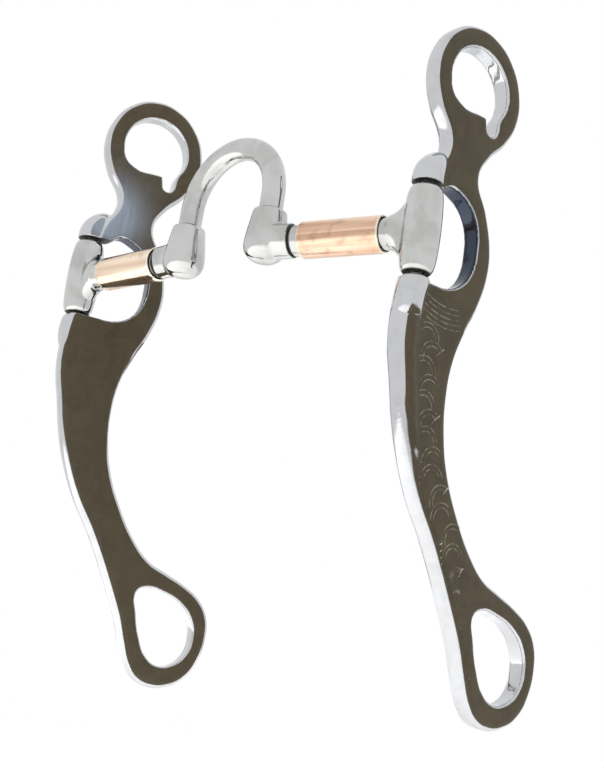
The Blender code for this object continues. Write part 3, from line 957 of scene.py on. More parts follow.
@dataclass
class Cheek:
    """One cheek: plate, bosses, pin and engraving."""

    side: Side
    fits: Fits
    sizes: CheekSizes = field(default_factory=CheekSizes)
    zones: PatinaZones = field(default_factory=PatinaZones)
    cell: float = 0.42
    passes: int = 7
    rounding: int = 14

    def ring(self, radius: float, centre: Sequence[float], height: float) -> list[Vector]:
        """Level ring of points round a centre, at a height from the middle of the hinge."""
        turns = (math.tau * k / Solid.STEPS for k in range(Solid.STEPS))
        return [Vector((centre[0] + radius * math.cos(t), centre[1] + radius * math.sin(t),
                        height + self.fits.hinge_rise)) for t in turns]

    def upper_boss(self) -> Solid:
        """Loft the domed boss whose crown leans back into the neck."""
        (radius, height), face = self.sizes.upper_boss, self.fits.boss_face
        straight, crown = face + 0.12 * height, face + height
        rings = [self.ring(radius - 0.4, (0, 0), face), self.ring(radius - 0.12, (0, 0), face + 0.12),
                 self.ring(radius, (0, 0), face + 0.4)]
        for i in range(23):
            rise = math.sin(math.radians(4 * i))
            rings.append(self.ring(radius * math.sqrt(1 - rise ** 2.8),
                                   (0, self.sizes.upper_lean * rise ** 2),
                                   straight + (crown - straight) * rise))
        return Solid.lofted("upper_boss", rings)

    def lower_boss(self) -> Solid:
        """Loft the boss that swells forward, then tapers into the shank's front edge."""
        sizes, outward, shoulder = self.sizes, self.side.outward, 1.2
        radius, height = sizes.lower_boss
        belly = Vector((outward * sizes.lower_bulge[0], -sizes.lower_bulge[1]))
        level = self.fits.hinge_rise - self.fits.boss_face - height
        root = Vector(self.rib_centre(level, sizes.lower_root))
        rings = []
        for share in shares(40):
            drop, late = share * height, share ** 3.5
            reach = sizes.lower_root + (radius - sizes.lower_root) * math.sqrt(1 - late)
            if drop < shoulder:
                reach -= shoulder * (1 - math.sqrt(1 - (1 - drop / shoulder) ** 2))
            swell = math.sin(math.pi * min(share / 0.7, 1) / 2)
            rings.append(self.ring(reach, belly * swell * (1 - late) + root * late,
                                   -self.fits.boss_face - drop))
        return Solid.lofted("lower_boss", rings)

    def rib_centre(self, level: float, radius: float) -> Point:
        """Centre of the front rib at a level, flush with the plate's front and inner face."""
        sizes = self.sizes
        aside = sizes.inset + sizes.half - max(radius, sizes.half - 0.3)
        return (-self.side.outward * aside, sizes.front_edge(level) + sizes.setback + radius + 0.15)

    def rib(self) -> Solid:
        """Loft the round rib that carries the lower boss down the shank's front edge."""
        top, foot = self.fits.hinge_rise - self.fits.boss_face - 1.0, self.sizes.rib_foot
        rings = []
        for share in shares(60):
            level = top + (foot - top) * share
            radius = (self.sizes.rib_tail + (self.sizes.rib - self.sizes.rib_tail)
                      * math.cos(math.pi * share / 2) ** 0.8)
            rings.append(self.ring(radius, self.rib_centre(level, radius),
                                   level - self.fits.hinge_rise))
        return Solid.lofted("rib", rings)

    def plate(self) -> Solid:
        """Cut, drill and skin the plate with its bosses."""
        sizes, face, rise = self.sizes, self.fits.boss_face, self.fits.hinge_rise
        body = Solid.plate("plate", sizes.outline(), sizes.half, sizes.edge)
        hole = sizes.ring_hole()
        last = len(hole)
        body.cut(Solid.plate("ring_hole", hole, 2 * sizes.half, 0, (last - 4, last - 3, last - 2)))
        window = [(y, z + rise) for y, z in sizes.window(face)]
        last = len(window) - 1
        body.cut(Solid.plate("window", window, 2 * sizes.half, 0, (0, 1, 2, last - 1, last)))
        body.cut(Solid.plate("loop_hole", sizes.loop_hole(), 2 * sizes.half))
        body.moved(-self.side.outward * sizes.inset, sizes.setback)
        body.join(self.upper_boss()).join(self.lower_boss()).join(self.rib())
        body.bore(self.fits.pin_bore, -face - sizes.pin_seat, face + 0.7 * sizes.upper_boss[1],
                  shift=(0.0, rise))
        body.skinned(self.cell, self.passes)
        at = body.points()
        away = np.maximum(np.hypot(at[:, 0], at[:, 1]) / 9, np.abs(at[:, 2] - rise) / (face + 12))
        return body.eased(self.rounding, (away - 0.9) / 0.2)

    def mark_patina(self, body: Solid) -> None:
        """Note on each vertex how brown the flats and the underside below the lower boss are, where a
        painted sheen lies on the inner face, where painted shade darkens the window's walls and where
        painted shade fills the hinge gaps.
        """
        at, normal, sizes, zones = body.points(), body.normals(), self.sizes, self.zones
        outward, rise, face = self.side.outward, self.fits.hinge_rise, self.fits.boss_face
        y, z = at[:, 1] - sizes.setback, at[:, 2]
        deep = np.abs(at[:, 0] + outward * sizes.inset)
        ribbed = np.clip((-z - zones.rib_head) / 3, 0, 1) * np.clip((z + zones.rib_end) / 12, 0, 1)
        level_face = np.abs(normal[:, 0]) - zones.side_normal + zones.rib_allowance * ribbed
        flat = np.clip(level_face / 0.09, 0, 1)
        proud = np.clip((sizes.half + 0.45 + 2 * ribbed - deep) / 0.35, 0, 1)
        inner = np.clip(-normal[:, 0] * outward * 2, 0, 1)
        # Painted sheen: the inner face is marked paler round the neck.
        (sheen_y, sheen_z), (reach_y, reach_z) = zones.painted_sheen_centre, zones.painted_sheen_reach
        neck = np.exp(-((y - sheen_y) / reach_y) ** 2 - ((z - sheen_z) / reach_z) ** 2)
        body.keep("painted_sheen", inner * np.clip(1.5 * neck, 0, 1))
        under = np.clip((-0.15 - normal[:, 2]) / 0.2, 0, 1) * (z < rise - face - zones.nose_top)
        nose_front = sizes.front_edge(-30) + sizes.setback + zones.nose_margin
        under *= (z > zones.nose_foot) * (at[:, 1] > nose_front)
        body.keep("patina", np.maximum(flat * proud, under))
        level = np.abs(z - rise)
        # Painted shade: the walls inside the window behind the barrel are marked dark.
        wall = (np.abs(normal[:, 0]) < 0.75) & (level < face + zones.wall_margin)
        body.keep("dark_tone", wall * (y > zones.wall_front) * (y < sizes.window_depth + 1.5) * 1.0)
        # Painted shade: boss faces close to the pin that look onto the barrel's ends are marked dark.
        near = np.clip((zones.painted_gap_shade_reach - np.hypot(at[:, 0], at[:, 1])) / 1.5, 0, 1)
        facing = np.clip((np.abs(normal[:, 2]) - 0.45) / 0.3, 0, 1)
        body.keep("painted_gap_shade", near * facing * (level < face + zones.painted_gap_shade_margin))

    def build(self) -> None:
        """Build the cheek's pieces and set them on their body."""
        name, place = self.side.value, self.fits.cheek_place(self.side)
        sizes, fits, face = self.sizes, self.fits, self.fits.boss_face
        body = self.plate()
        self.mark_patina(body)
        piece = body.placed(f"{name}_cheek_casting", place,
                            AntiquedPlate().material(f"{name} cheek"))
        seat(piece, f"{name}_cheek", f"{name}_cheek")
        foot, head = -face - sizes.pin_seat + fits.clearance, face + 0.6 * sizes.upper_boss[1]
        r = fits.pin_radius
        pin = Solid.turned("pin", [(0, head + 0.5), (0.6 * r, head + 0.3), (r, head - 0.4),
                                   (r, foot + 0.4), (r - 0.4, foot), (0, foot)])
        pin.moved(z=fits.hinge_rise)
        piece = pin.placed(f"{name}_hinge_pin_turned", place,
                           TurnedSteel().material(f"{name} hinge pin"), smooth_angle=30)
        seat(piece, f"{name}_cheek", f"{name}_hinge_pin")
        shift = Matrix.Translation((-self.side.outward * sizes.inset, sizes.setback, 0))
        Engraving(self.side, sizes, place @ shift).build()


# ---------------------------------------------------------------------------------------------
# Engraving
# ---------------------------------------------------------------------------------------------

class PatternSheet(NodeSheet):
    """A Geometry Nodes tree with named number inputs, and its use on a mesh."""

    def __init__(self, name: str, sizes: dict[str, float], material: bpy.types.Material) -> None:
        """Make the tree.

        Args:
            name: Name of the tree.
            sizes: Named inputs and their defaults.
            material: What the result is made of.
        """
        super().__init__(bpy.data.node_groups.new(name, "GeometryNodeTree"))
        face = self.tree.interface
        face.new_socket(name="Geometry", in_out="INPUT", socket_type="NodeSocketGeometry")
        face.new_socket(name="Geometry", in_out="OUTPUT", socket_type="NodeSocketGeometry")
        for key, value in sizes.items():
            socket = face.new_socket(name=key, in_out="INPUT", socket_type="NodeSocketFloat")
            socket.default_value = value
        self.entry = self.node("NodeGroupInput")
        self.material = material

    def given(self, name: str) -> Wire:
        """One of the tree's inputs."""
        return Wire(self, find_socket(self.entry.outputs, name))

    def named(self, name: str) -> Wire:
        """A number kept on the points."""
        return self.wire("GeometryNodeInputNamedAttribute", {"data_type": "FLOAT"},
                         {"Name": name}, "Attribute")

    def close(self, geometry: Wire) -> None:
        """Realise the result, give it its material and end the tree."""
        real = self.wire("GeometryNodeRealizeInstances", None, {"Geometry": geometry})
        done = self.wire("GeometryNodeSetMaterial", None,
                         {"Geometry": real, "Material": self.material})
        self.node("NodeGroupOutput", None, {"Geometry": done})

    def run(self, obj: bpy.types.Object, **values: float) -> bpy.types.Object:
        """Apply the tree to an object.

        Args:
            obj: Carrier of the points or edges; it is used up.
            **values: Inputs that differ from their defaults.

        Returns:
            The plain mesh that it makes.
        """
        modifier = obj.modifiers.new("Pattern", "NODES")
        modifier.node_group = self.tree
        for item in self.tree.interface.items_tree:
            if item.in_out == "INPUT" and item.name in values:
                modifier[item.identifier] = values[item.name]
        return settle(obj)


@dataclass
class Engraving:
    """Running scroll, bright cuts and a stippled border on a cheek's outer face."""

    side: Side
    sizes: CheekSizes
    place: Matrix
    petals: int = 15
    first_level: float = -31.0
    last_level: float = -97.0
    line_width: float = 0.30
    line_height: float = 0.07
    dot_pitch: float = 0.85
    dot_size: float = 0.22
    border: float = 3.0

    def at(self, rear: float, up: float) -> Vector:
        """A point on the outer face."""
        return Vector((self.side.outward * self.sizes.half, rear, up))

    def carrier(self, name: str, lines: Sequence[Sequence[Vector]],
                numbers: dict[str, Sequence[float]]) -> bpy.types.Object:
        """Make a mesh of polylines, or loose points, that carries numbers.

        Args:
            name: Name of the object.
            lines: Each line's points; a line of one point is loose.
            numbers: Attribute name to a value for each point.

        Returns:
            The object.
        """
        points = [p for line in lines for p in line]
        edges, start = [], 0
        for line in lines:
            edges += [(start + i, start + i + 1) for i in range(len(line) - 1)]
            start += len(line)
        mesh = bpy.data.meshes.new(name)
        mesh.from_pydata(points, edges, [])
        for key, values in numbers.items():
            mesh.attributes.new(key, "FLOAT", "POINT").data.foreach_set("value", list(values))
        return link(name, mesh)

    def arcs(self, index: int) -> list[tuple[Point, float, float]]:
        """Centre, radius and lean of the nested arcs of one petal of the running band."""
        share = index / (self.petals - 1)
        level = self.first_level + (self.last_level - self.first_level) * share
        front, rear = self.sizes.front_edge(level) + 3.2, self.sizes.rear_edge(level) - 2.4
        hand = 1 if index % 2 else -1
        middle = (front + rear) / 2 + hand * 0.09 * (rear - front)
        reach = min(0.40 * (rear - front), 4.4)
        lean = math.degrees(math.atan2(self.sizes.front_edge(level - 4)
                                       - self.sizes.front_edge(level + 4), 8)) + 14 * hand
        return [((middle, level), reach * shrink, lean) for shrink in (1.0, 0.72)]

    def petal_lines(self) -> list[list[Vector]]:
        """Centre lines of the petals and of the sweeps under the boss."""
        lines = []
        for index in range(self.petals):
            for (rear, up), reach, lean in self.arcs(index):
                sweep = arc(8 + lean, 172 + lean, (rear, up), (reach, 1.15 * reach), 26)
                lines.append([self.at(*p) for p in sweep])
        for k in range(5):
            sweep = arc(205, 292, (10.5, -11.0), (13.0 + 1.1 * k, 8.8 + 1.5 * k), 24)
            lines.append([self.at(*p) for p in sweep
                          if p[0] > self.sizes.front_edge(p[1]) + 2.6])
        return [line for line in lines if len(line) > 3]

    def leaf_cuts(self) -> tuple[list[list[Vector]], list[float], list[float]]:
        """Places, angles and lengths of the few bright wriggled cuts beside the petals."""
        spots, angles, lengths = [], [], []
        for index in range(1, self.petals, 2):
            ((rear, up), reach, lean), _ = self.arcs(index)
            for k in range(3 + index % 3):
                turn = math.radians(lean + (18 if index % 4 == 1 else 150) + 9 * k)
                y = rear + 1.08 * reach * math.cos(turn)
                z = up + (1.2 * reach) * math.sin(turn) - 1.1 * k
                spots.append([self.at(y, z)])
                angles.append(math.radians(48 + 9 * k) - math.radians(lean) * 0.3)
                lengths.append(1.1 - 0.22 * k)
        return spots, angles, lengths

    def border_line(self) -> list[Vector]:
        """Line of the stippled border down the front of the shank."""
        levels = np.linspace(self.sizes.shank_top - 20, self.sizes.loop_centre[1] - 8, 90)
        return [self.at(self.sizes.front_edge(z) + self.border, z) for z in levels]

    def finish(self, obj: bpy.types.Object, name: str) -> None:
        """Place one engraved piece and let it ride on the cheek."""
        piece = Solid(obj).placed(f"{self.side.value}_{name}", self.place,
                                  obj.data.materials[-1], smooth_angle=20)
        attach(piece, f"{self.side.value}_cheek")

    def line_sheet(self) -> PatternSheet:
        """Tree that runs a shallow ridge along each line, thinning at its ends."""
        sheet = PatternSheet("engraved_lines", {"Width": 1.0, "Height": 1.0},
                             CutLine((0.21, 0.19, 0.14), (0.060, 0.048, 0.030), 0.5).material(
                             f"{self.side.value} engraved line"))
        curve = sheet.wire("GeometryNodeMeshToCurve", None, {"Mesh": sheet.given("Geometry")})
        along = sheet.wire("GeometryNodeSplineParameter", None, None, "Factor")
        taper = (along * (1 - along) * 4) ** 0.5
        profile = sheet.wire("GeometryNodeCurvePrimitiveCircle", {"mode": "RADIUS"},
                             {"Resolution": 4, "Radius": 0.5})
        size = sheet.wire("ShaderNodeCombineXYZ", None,
                          {"X": sheet.given("Height"), "Y": sheet.given("Width"), "Z": 1.0})
        profile = sheet.wire("GeometryNodeTransform", None, {"Geometry": profile, "Scale": size})
        upright = sheet.wire("GeometryNodeSetCurveNormal", {"mode": "FREE"},
                             {"Curve": curve, "Normal": (1.0, 0.0, 0.0)})
        ridge = sheet.wire("GeometryNodeCurveToMesh", None,
                           {"Curve": upright, "Profile Curve": profile, "Fill Caps": True,
                            "Scale": taper + 0.08})
        sheet.close(ridge)
        return sheet

    def dot_sheet(self) -> PatternSheet:
        """Tree that sets a punched dot at each step of a line."""
        sheet = PatternSheet("stippled_dots", {"Pitch": 1.0, "Size": 0.3},
                             CutLine((0.13, 0.12, 0.09), (0.020, 0.018, 0.012), 0.35).material(
                             f"{self.side.value} stipple"))
        curve = sheet.wire("GeometryNodeMeshToCurve", None, {"Mesh": sheet.given("Geometry")})
        beads = sheet.wire("GeometryNodeResampleCurve", {"mode": "LENGTH"},
                           {"Curve": curve, "Length": sheet.given("Pitch")})
        dot = sheet.wire("GeometryNodeMeshIcoSphere", None, {"Radius": 1.0, "Subdivisions": 2},
                         "Mesh")
        flat = sheet.wire("ShaderNodeCombineXYZ", None,
                          {"X": sheet.given("Size") * 0.22, "Y": sheet.given("Size"),
                           "Z": sheet.given("Size")})
        sheet.close(sheet.wire("GeometryNodeInstanceOnPoints", None,
                               {"Points": beads, "Instance": dot, "Scale": flat}))
        return sheet

    def leaf_sheet(self) -> PatternSheet:
        """Tree that sets a bright leaf-shaped cut on each point, turned by its own angle."""
        sheet = PatternSheet("leaf_cuts", {"Length": 1.0, "Width": 0.35, "Height": 0.12},
                             CutLine((0.45, 0.42, 0.33), (0.16, 0.14, 0.10), 0.6).material(
                             f"{self.side.value} bright cut"))
        leaf = sheet.wire("GeometryNodeMeshIcoSphere", None, {"Radius": 1.0, "Subdivisions": 1},
                          "Mesh")
        turn = sheet.wire("ShaderNodeCombineXYZ", None, {"X": sheet.named("angle")})
        length = sheet.named("length")
        size = sheet.wire("ShaderNodeCombineXYZ", None,
                          {"X": sheet.given("Height"), "Y": sheet.given("Length") * length,
                           "Z": sheet.given("Width") * length})
        sheet.close(sheet.wire("GeometryNodeInstanceOnPoints", None,
                               {"Points": sheet.given("Geometry"), "Instance": leaf,
                                "Rotation": turn, "Scale": size}))
        return sheet

    def build(self) -> None:
        """Engrave the outer face."""
        lines = self.carrier("lines", self.petal_lines(), {})
        self.finish(self.line_sheet().run(lines, Width=self.line_width, Height=self.line_height),
                    "scroll_engraving")
        border = self.carrier("border", [self.border_line()], {})
        self.finish(self.dot_sheet().run(border, Pitch=self.dot_pitch, Size=self.dot_size),
                    "stippled_border")
        spots, angles, lengths = self.leaf_cuts()
        leaves = self.carrier("leaves", spots, {"angle": angles, "length": lengths})
        self.finish(self.leaf_sheet().run(leaves, Length=0.75, Width=0.16, Height=0.06),
                    "bright_cuts")


# ---------------------------------------------------------------------------------------------
# Mouthpiece
# ---------------------------------------------------------------------------------------------

def oval(x: float, half_width: float, up: float, down: float) -> list[Vector]:
    """Ring across a bar.

    Args:
        x: Its place along the bar.
        half_width: Reach to front and rear.
        up: Reach above the axis.
        down: Reach below the axis.

    Returns:
        The ring's points.
    """
    ring = []
    for i in range(Solid.STEPS):
        angle = math.tau * i / Solid.STEPS
        reach = up if math.sin(angle) > 0 else down
        ring.append(Vector((x, half_width * math.cos(angle), reach * math.sin(angle))))
    return ring


@dataclass
class Port:
    """The bent rod between the knuckles, with the washers riveted on its legs."""

    fits: Fits
    height: float = 32.4
    washer: float = 1.2
    washer_top: float = -3.8
    washer_seat: float = 4.0
    bend_steps: int = 64
    ring_steps: int = 56

    def rod(self) -> Solid:
        """Bend the rod and turn its two tenons."""
        fits, half = self.fits, self.fits.port_width / 2
        spring = self.height - half
        step, foot = self.washer_top + fits.clearance, self.washer_top - self.washer
        shoulder = fits.knuckle_top + fits.clearance
        thin = fits.tenon_radius - 0.5
        leg = [(foot, thin), (step, thin), (step, fits.tenon_radius),
               (shoulder, fits.tenon_radius), (shoulder, fits.rod_radius - 0.25),
               (shoulder + 0.25, fits.rod_radius)]
        rows = [((half, z), r, 0.0) for z, r in leg]
        rows += [(p, fits.rod_radius, math.pi * i / self.bend_steps)
                 for i, p in enumerate(arc(0, 180, (0, spring), (half, half), self.bend_steps))]
        rows += [((-half, z), r, math.pi) for z, r in reversed(leg)]
        rings = []
        for (x, z), radius, lean in rows:
            out = Vector((math.cos(lean), 0, math.sin(lean)))
            rings.append([Vector((x, 0, z)) + radius * (math.cos(a) * out
                                                        + math.sin(a) * Vector((0, 1, 0)))
                          for a in (math.tau * k / self.ring_steps
                                    for k in range(self.ring_steps))])
        return Solid.lofted("rod", rings)

    def build(self) -> None:
        """Build the rod and its washers."""
        origin = Matrix.Identity(4)
        piece = self.rod().placed("port_rod", origin, PolishedSteel().material("port"),
                                  smooth_angle=40)
        seat(piece, "port", "port")
        fits = self.fits
        inner, outer = fits.tenon_radius - 0.5 + fits.clearance, self.washer_seat - fits.clearance
        top, foot = self.washer_top, self.washer_top - self.washer
        for side in Side:
            ring = Solid.turned("washer", [(inner, top), (inner, foot), (outer - 0.15, foot),
                                           (outer, foot + 0.15), (outer, top), (inner, top)])
            ring.moved(side.outward * fits.port_width / 2)
            name = f"{side.value}_leg_retainer"
            piece = ring.placed(f"{name}_washer", origin, TurnedSteel().material(name),
                                smooth_angle=30)
            seat(piece, "port", name)


@dataclass
class Bar:
    """One bar: knuckle, plug, core with flare and hinge barrel, and the copper roller."""

    side: Side
    fits: Fits
    barrel_end: float = 4.3
    barrel_mid: float = 5.6
    flare: float = 8.6
    core: float = 4.7
    sleeve_length: float = 26.5
    sleeve_wall: float = 0.5
    spigot: Point = (3.0, 5.0)
    knuckle_top_radius: float = 5.2
    knuckle_mid_radius: float = 6.5
    counterbore: Point = (4.0, 3.4)

    def barrel(self) -> Solid:
        """Turn the bulging barrel."""
        half, rim = self.fits.barrel_half, 0.5
        profile = [(0, -half), (self.barrel_end - rim, -half)]
        for i in range(31):
            share = -1 + i / 15
            swell = (self.barrel_mid - self.barrel_end) * math.sqrt(max(0.0, 1 - share ** 2))
            profile.append((self.barrel_end + swell, share * (half - rim)))
        profile += [(self.barrel_end - rim, half), (0, half)]
        return Solid.turned("barrel", profile).moved(self.fits.bar_length, 0, self.fits.hinge_rise)

    def flare_rings(self) -> list[list[Vector]]:
        """Rings from the barrel to the core, with a concave fillet above and below."""
        fits = self.fits
        root, tip = fits.barrel_half - 0.8, self.core + 0.5
        wide, start = self.barrel_end - 0.4, 0.8 * self.barrel_end
        rings = [oval(fits.bar_length, wide, root + fits.hinge_rise, root - fits.hinge_rise)]
        for share in shares(25):
            rise = (1 - share) ** 1.8
            up = (tip - fits.core_drop) * (1 - rise) + (root + fits.hinge_rise) * rise
            down = (tip + fits.core_drop) * (1 - rise) + (root - fits.hinge_rise) * rise
            rings.append(oval(fits.bar_length - start - (self.flare - start) * share,
                              wide + (tip - wide) * share, up, down))
        return rings

    def bar(self) -> Solid:
        """Weld barrel, flare and core, and drill the pin's bore."""
        fits = self.fits
        shoulder = fits.neck_length + fits.clearance
        tip = fits.neck_length - self.spigot[1] + fits.clearance
        overlap = fits.bar_length - self.flare + 1.0
        core = Solid.turned("core", [(0, tip), (self.spigot[0], tip), (self.spigot[0], shoulder),
                                     (self.core, shoulder), (self.core, overlap), (0, overlap)], "X")
        body = self.barrel().join(Solid.lofted("flare", self.flare_rings()))
        body.join(core.moved(z=-fits.core_drop))
        body.bore(fits.pin_bore, -fits.barrel_half - 1, fits.barrel_half + 1,
                  shift=(fits.bar_length, fits.hinge_rise))
        body.skinned(cell=0.3, passes=7)
        # Painted shade: the barrel's end faces, and the core where it runs into the knuckle's neck, are
        # marked dark.
        at, normal = body.points(), body.normals()
        beyond = np.clip((np.abs(at[:, 2] - fits.hinge_rise) - fits.barrel_half + 0.5) / 0.3, 0, 1)
        covered = (at[:, 0] < fits.neck_length + 1.2) * 1.0
        return body.keep("painted_gap_shade", np.maximum(beyond * np.clip(np.abs(normal[:, 2]) * 3 - 1.4, 0, 1),
                                             covered))

    def sleeve(self) -> Solid:
        """Turn the copper roller with slightly rolled rims."""
        fits = self.fits
        first = fits.neck_length + fits.clearance
        last = fits.bar_length - self.flare - fits.clearance - self.sleeve_length
        start = first + POSES[self.side].roller_slide * (last - first)
        end = start + self.sleeve_length
        inner = self.core + fits.clearance
        outer = inner + self.sleeve_wall
        middle = [(outer, start + 0.2 + (self.sleeve_length - 0.4) * i / 24) for i in range(25)]
        profile = [(inner, start), (outer - 0.22, start), (outer - 0.06, start + 0.07), *middle,
                   (outer - 0.06, end - 0.07), (outer - 0.22, end), (inner, end), (inner, start)]
        sleeve = Solid.turned("sleeve", profile, "X")
        at = sleeve.points()
        around = np.arctan2(at[:, 2], at[:, 1]) / math.tau + 0.5
        along = (at[:, 0] - start) / self.sleeve_length
        # The rim mark carries a painted highlight at both ends of the sleeve.
        sleeve.keep("rim", 1 - np.minimum(along, 1 - along) * self.sleeve_length / 0.45)
        return sleeve.unwrap("sleeve", along, around, turn=True).moved(z=-fits.core_drop)

    def knuckle(self) -> Solid:
        """Turn the pear, weld its neck on and drill it."""
        fits, mid, crown = self.fits, self.knuckle_mid_radius, self.knuckle_top_radius
        top, foot = fits.knuckle_top, fits.knuckle_foot
        side = faired([(crown, top - 0.5), (crown + 0.5, 0.55 * top),
                       (mid - 0.3, 0.15 * top), (mid, 0.25 * foot), (mid - 0.1, 0.5 * foot),
                       (mid - 0.8, 0.75 * foot), (mid - 2.0, 0.93 * foot)])
        dome = [(3.5, foot - 0.1), (2.4, foot - 0.4), (1.2, foot - 0.56)]
        body = Solid.turned("pear", [(0, top), (crown - 0.4, top), *side, *dome,
                                     (0, foot - 0.6)])
        rings = []
        start, drop = self.core + fits.clearance + self.sleeve_wall - 0.3, fits.core_drop
        for share in shares(17):
            swell = share ** 2
            rings.append(oval(fits.neck_length * (1 - share), start + 0.7 * swell,
                              start - drop + 1.4 * swell, start + drop))
        body.join(Solid.lofted("neck", rings))
        body.bore(fits.tenon_radius + fits.clearance, foot + 1.5, top + 1)
        body.bore(self.counterbore[0], foot + 0.9, foot + self.counterbore[1])
        body.bore(self.spigot[0] + fits.clearance, fits.neck_length - self.spigot[1],
                  fits.neck_length + 1, "X", (0.0, -drop))
        body.skinned(cell=0.26, passes=12)
        # Painted shade: the neck's end face, which looks onto the roller, is marked dark.
        at, normal = body.points(), body.normals()
        return body.keep("painted_gap_shade", ((normal[:, 0] > 0.8) & (at[:, 0] > fits.neck_length - 0.8)) * 0.9)

    def plug(self) -> Solid:
        """Turn the plug that lies behind the knuckle's ground foot."""
        fits = self.fits
        outer = self.counterbore[0] - fits.clearance
        foot = fits.knuckle_foot
        low, top = foot + 1.1, foot + 1.65
        return Solid.turned("plug", [(0, top), (outer - 0.1, top), (outer, top - 0.1),
                                     (outer, low + 0.1), (outer - 0.1, low), (0, low)])

    def build(self) -> None:
        """Build the bar's pieces and set them on their bodies."""
        name, place = self.side.value, self.fits.bar_place(self.side)
        steel = PolishedSteel()
        # Painted light: the left roller gets a paler, lit copy of the same copper as the right one.
        warm = RolledCopper() if self.side is Side.RIGHT else RolledCopper(
            light=(0.95, 0.80, 0.64), body=(0.76, 0.58, 0.42), brown=(0.40, 0.27, 0.17))
        pieces = (
            (self.bar(), "bar", "casting", "bar", steel.material(f"{name} bar")),
            (self.knuckle(), "knuckle", "casting", "bar", steel.material(f"{name} knuckle")),
            (self.plug(), "knuckle_cap", "plug", "bar", TurnedSteel().material(f"{name} plug")),
            (self.sleeve(), "roller", "sleeve", "roller", warm.material(f"{name} roller")),
        )
        for solid, node, form, body, material in pieces:
            piece = solid.placed(f"{name}_{node}_{form}", place, material)
            seat(piece, f"{name}_{body}", f"{name}_{node}")


# ---------------------------------------------------------------------------------------------
# Studio
# ---------------------------------------------------------------------------------------------

@dataclass(frozen=True)
class Softbox:
    """A soft rectangular lamp aimed at the object."""

    name: str
    azimuth: float
    elevation: float
    distance: float
    width: float
    height: float
    power: float
    colour: Colour = (1.0, 1.0, 1.0)


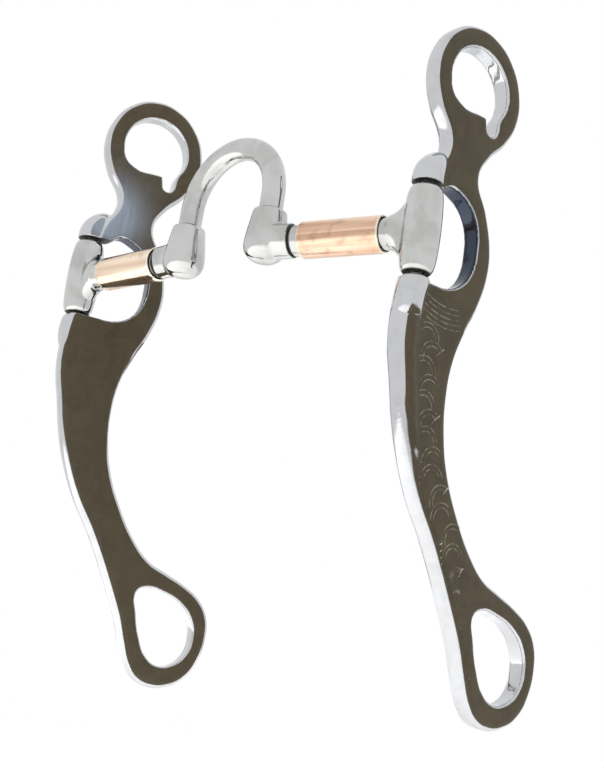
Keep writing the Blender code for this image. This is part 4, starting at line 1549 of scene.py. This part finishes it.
@dataclass
class Studio:
    """Pale floor, soft lamps, white surround and the camera."""

    centre: Vector = field(default_factory=lambda: Vector((0.0, 0.02, -0.03)))
    floor_level: float = -0.152
    floor_radius: float = 0.55
    floor_fade: Point = (0.55, 0.98)
    ambient: float = 0.75

    def toward(self, azimuth: float, elevation: float, distance: float) -> Vector:
        """A place round the object: azimuth 0 is in front and 90 on the off side."""
        a, e = math.radians(azimuth), math.radians(elevation)
        way = Vector((math.sin(a) * math.cos(e), -math.cos(a) * math.cos(e), math.sin(e)))
        return self.centre + way * distance

    def facing(self, place: Vector) -> Matrix:
        """Matrix at a place whose -Z looks at the object."""
        look = (self.centre - place).to_track_quat("-Z", "Y").to_matrix().to_4x4()
        return Matrix.Translation(place) @ look

    def floor(self) -> None:
        """Lay a pale round floor that fades into the white surround."""
        bm = bmesh.new()
        bmesh.ops.create_circle(bm, cap_ends=True, segments=96, radius=self.floor_radius)
        mesh = bpy.data.meshes.new("floor")
        bm.to_mesh(mesh)
        bm.free()
        mesh.transform(Matrix.Translation((0, 0, self.floor_level)))
        floor = link("floor", mesh)
        sheet = ShaderSheet("floor")
        away = sheet.wire("ShaderNodeVectorMath", {"operation": "LENGTH"},
                          {"Vector": sheet.place()}, "Value")
        fade = away.step(*(share * self.floor_radius for share in self.floor_fade))
        tone = sheet.noise(sheet.place(), 9, 3, 0.5) * 0.02
        colour = sheet.mix(tone, (0.82, 0.82, 0.82), (0.72, 0.72, 0.73))
        pale = sheet.wire("ShaderNodeBsdfDiffuse", None, {"Color": colour})
        white = sheet.wire("ShaderNodeEmission", None, {"Color": (1, 1, 1, 1), "Strength": 1.0})
        sheet.close_blend("ShaderNodeOutputMaterial", fade, pale, white)
        mesh.materials.append(sheet.material)

    def lamp(self, box: Softbox) -> None:
        """Set up one soft lamp."""
        light = bpy.data.lights.new(box.name, "AREA")
        light.shape, light.size, light.size_y = "RECTANGLE", box.width, box.height
        light.energy, light.color = box.power, box.colour
        lamp = link(box.name, light)
        lamp.matrix_world = self.facing(self.toward(box.azimuth, box.elevation, box.distance))
        lamp.visible_glossy = False

    def surround(self) -> None:
        """Light the world softly, and show it white behind the object and in its gloss."""
        world = bpy.data.worlds.new("studio")
        bpy.context.scene.world = world
        world.use_nodes = True
        sheet = NodeSheet(world.node_tree)
        path = sheet.node("ShaderNodeLightPath")
        seen = Wire(sheet, path.outputs["Is Camera Ray"]).larger(
            Wire(sheet, path.outputs["Is Glossy Ray"])).larger(
            Wire(sheet, path.outputs["Is Transmission Ray"]))
        soft = sheet.wire("ShaderNodeBackground", None,
                          {"Color": (1, 1, 1, 1), "Strength": self.ambient})
        white = sheet.wire("ShaderNodeBackground", None, {"Color": (1, 1, 1, 1), "Strength": 1.0})
        sheet.close_blend("ShaderNodeOutputWorld", seen, soft, white)

    def camera(self) -> None:
        """Set the camera low and close on the front of the off side."""
        data = bpy.data.cameras.new("camera")
        data.lens, data.sensor_width = 63.218, 36.0
        data.shift_x, data.shift_y = -0.01146, -0.02379
        data.clip_start, data.clip_end = 0.01, 20.0
        camera = link("camera", data)
        ahead = Vector((-0.6683, 0.6950, 0.2652)).normalized()
        right = ahead.cross(Vector((0.0767, -0.2902, 0.9539))).normalized()
        above = right.cross(ahead)
        turn = Matrix((right, above, -ahead)).transposed().to_4x4()
        camera.matrix_world = Matrix.Translation((0.29109, -0.25756, -0.13952)) @ turn
        bpy.context.scene.camera = camera

    def build(self) -> None:
        """Set up the whole studio."""
        self.floor()
        self.surround()
        for box in (
            Softbox("window", -48, 25, 0.8, 0.5, 0.7, 9.0),
            Softbox("ceiling", 30, 68, 0.8, 0.5, 0.4, 5.0, (1.0, 0.98, 0.94)),
            Softbox("back_fill", 165, 35, 0.9, 0.5, 0.5, 3.0),
        ):
            self.lamp(box)
        self.camera()
        scene = bpy.context.scene
        scene.view_settings.view_transform = "Standard"


# ---------------------------------------------------------------------------------------------
# The bit
# ---------------------------------------------------------------------------------------------

@dataclass
class CurbBit:
    """The whole bit."""

    fits: Fits = field(default_factory=Fits)

    def build(self) -> None:
        """Build every sub-assembly."""
        Port(self.fits).build()
        for side in Side:
            Bar(side, self.fits).build()
            Cheek(side, self.fits).build()


def main() -> None:
    """Load the frame and build the looks round it."""
    logging.basicConfig(level=logging.INFO, format="%(message)s")
    for obj in list(bpy.data.objects):
        bpy.data.objects.remove(obj, do_unlink=True)
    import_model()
    CurbBit().build()
    Studio().build()


if __name__ == "__main__":
    main()
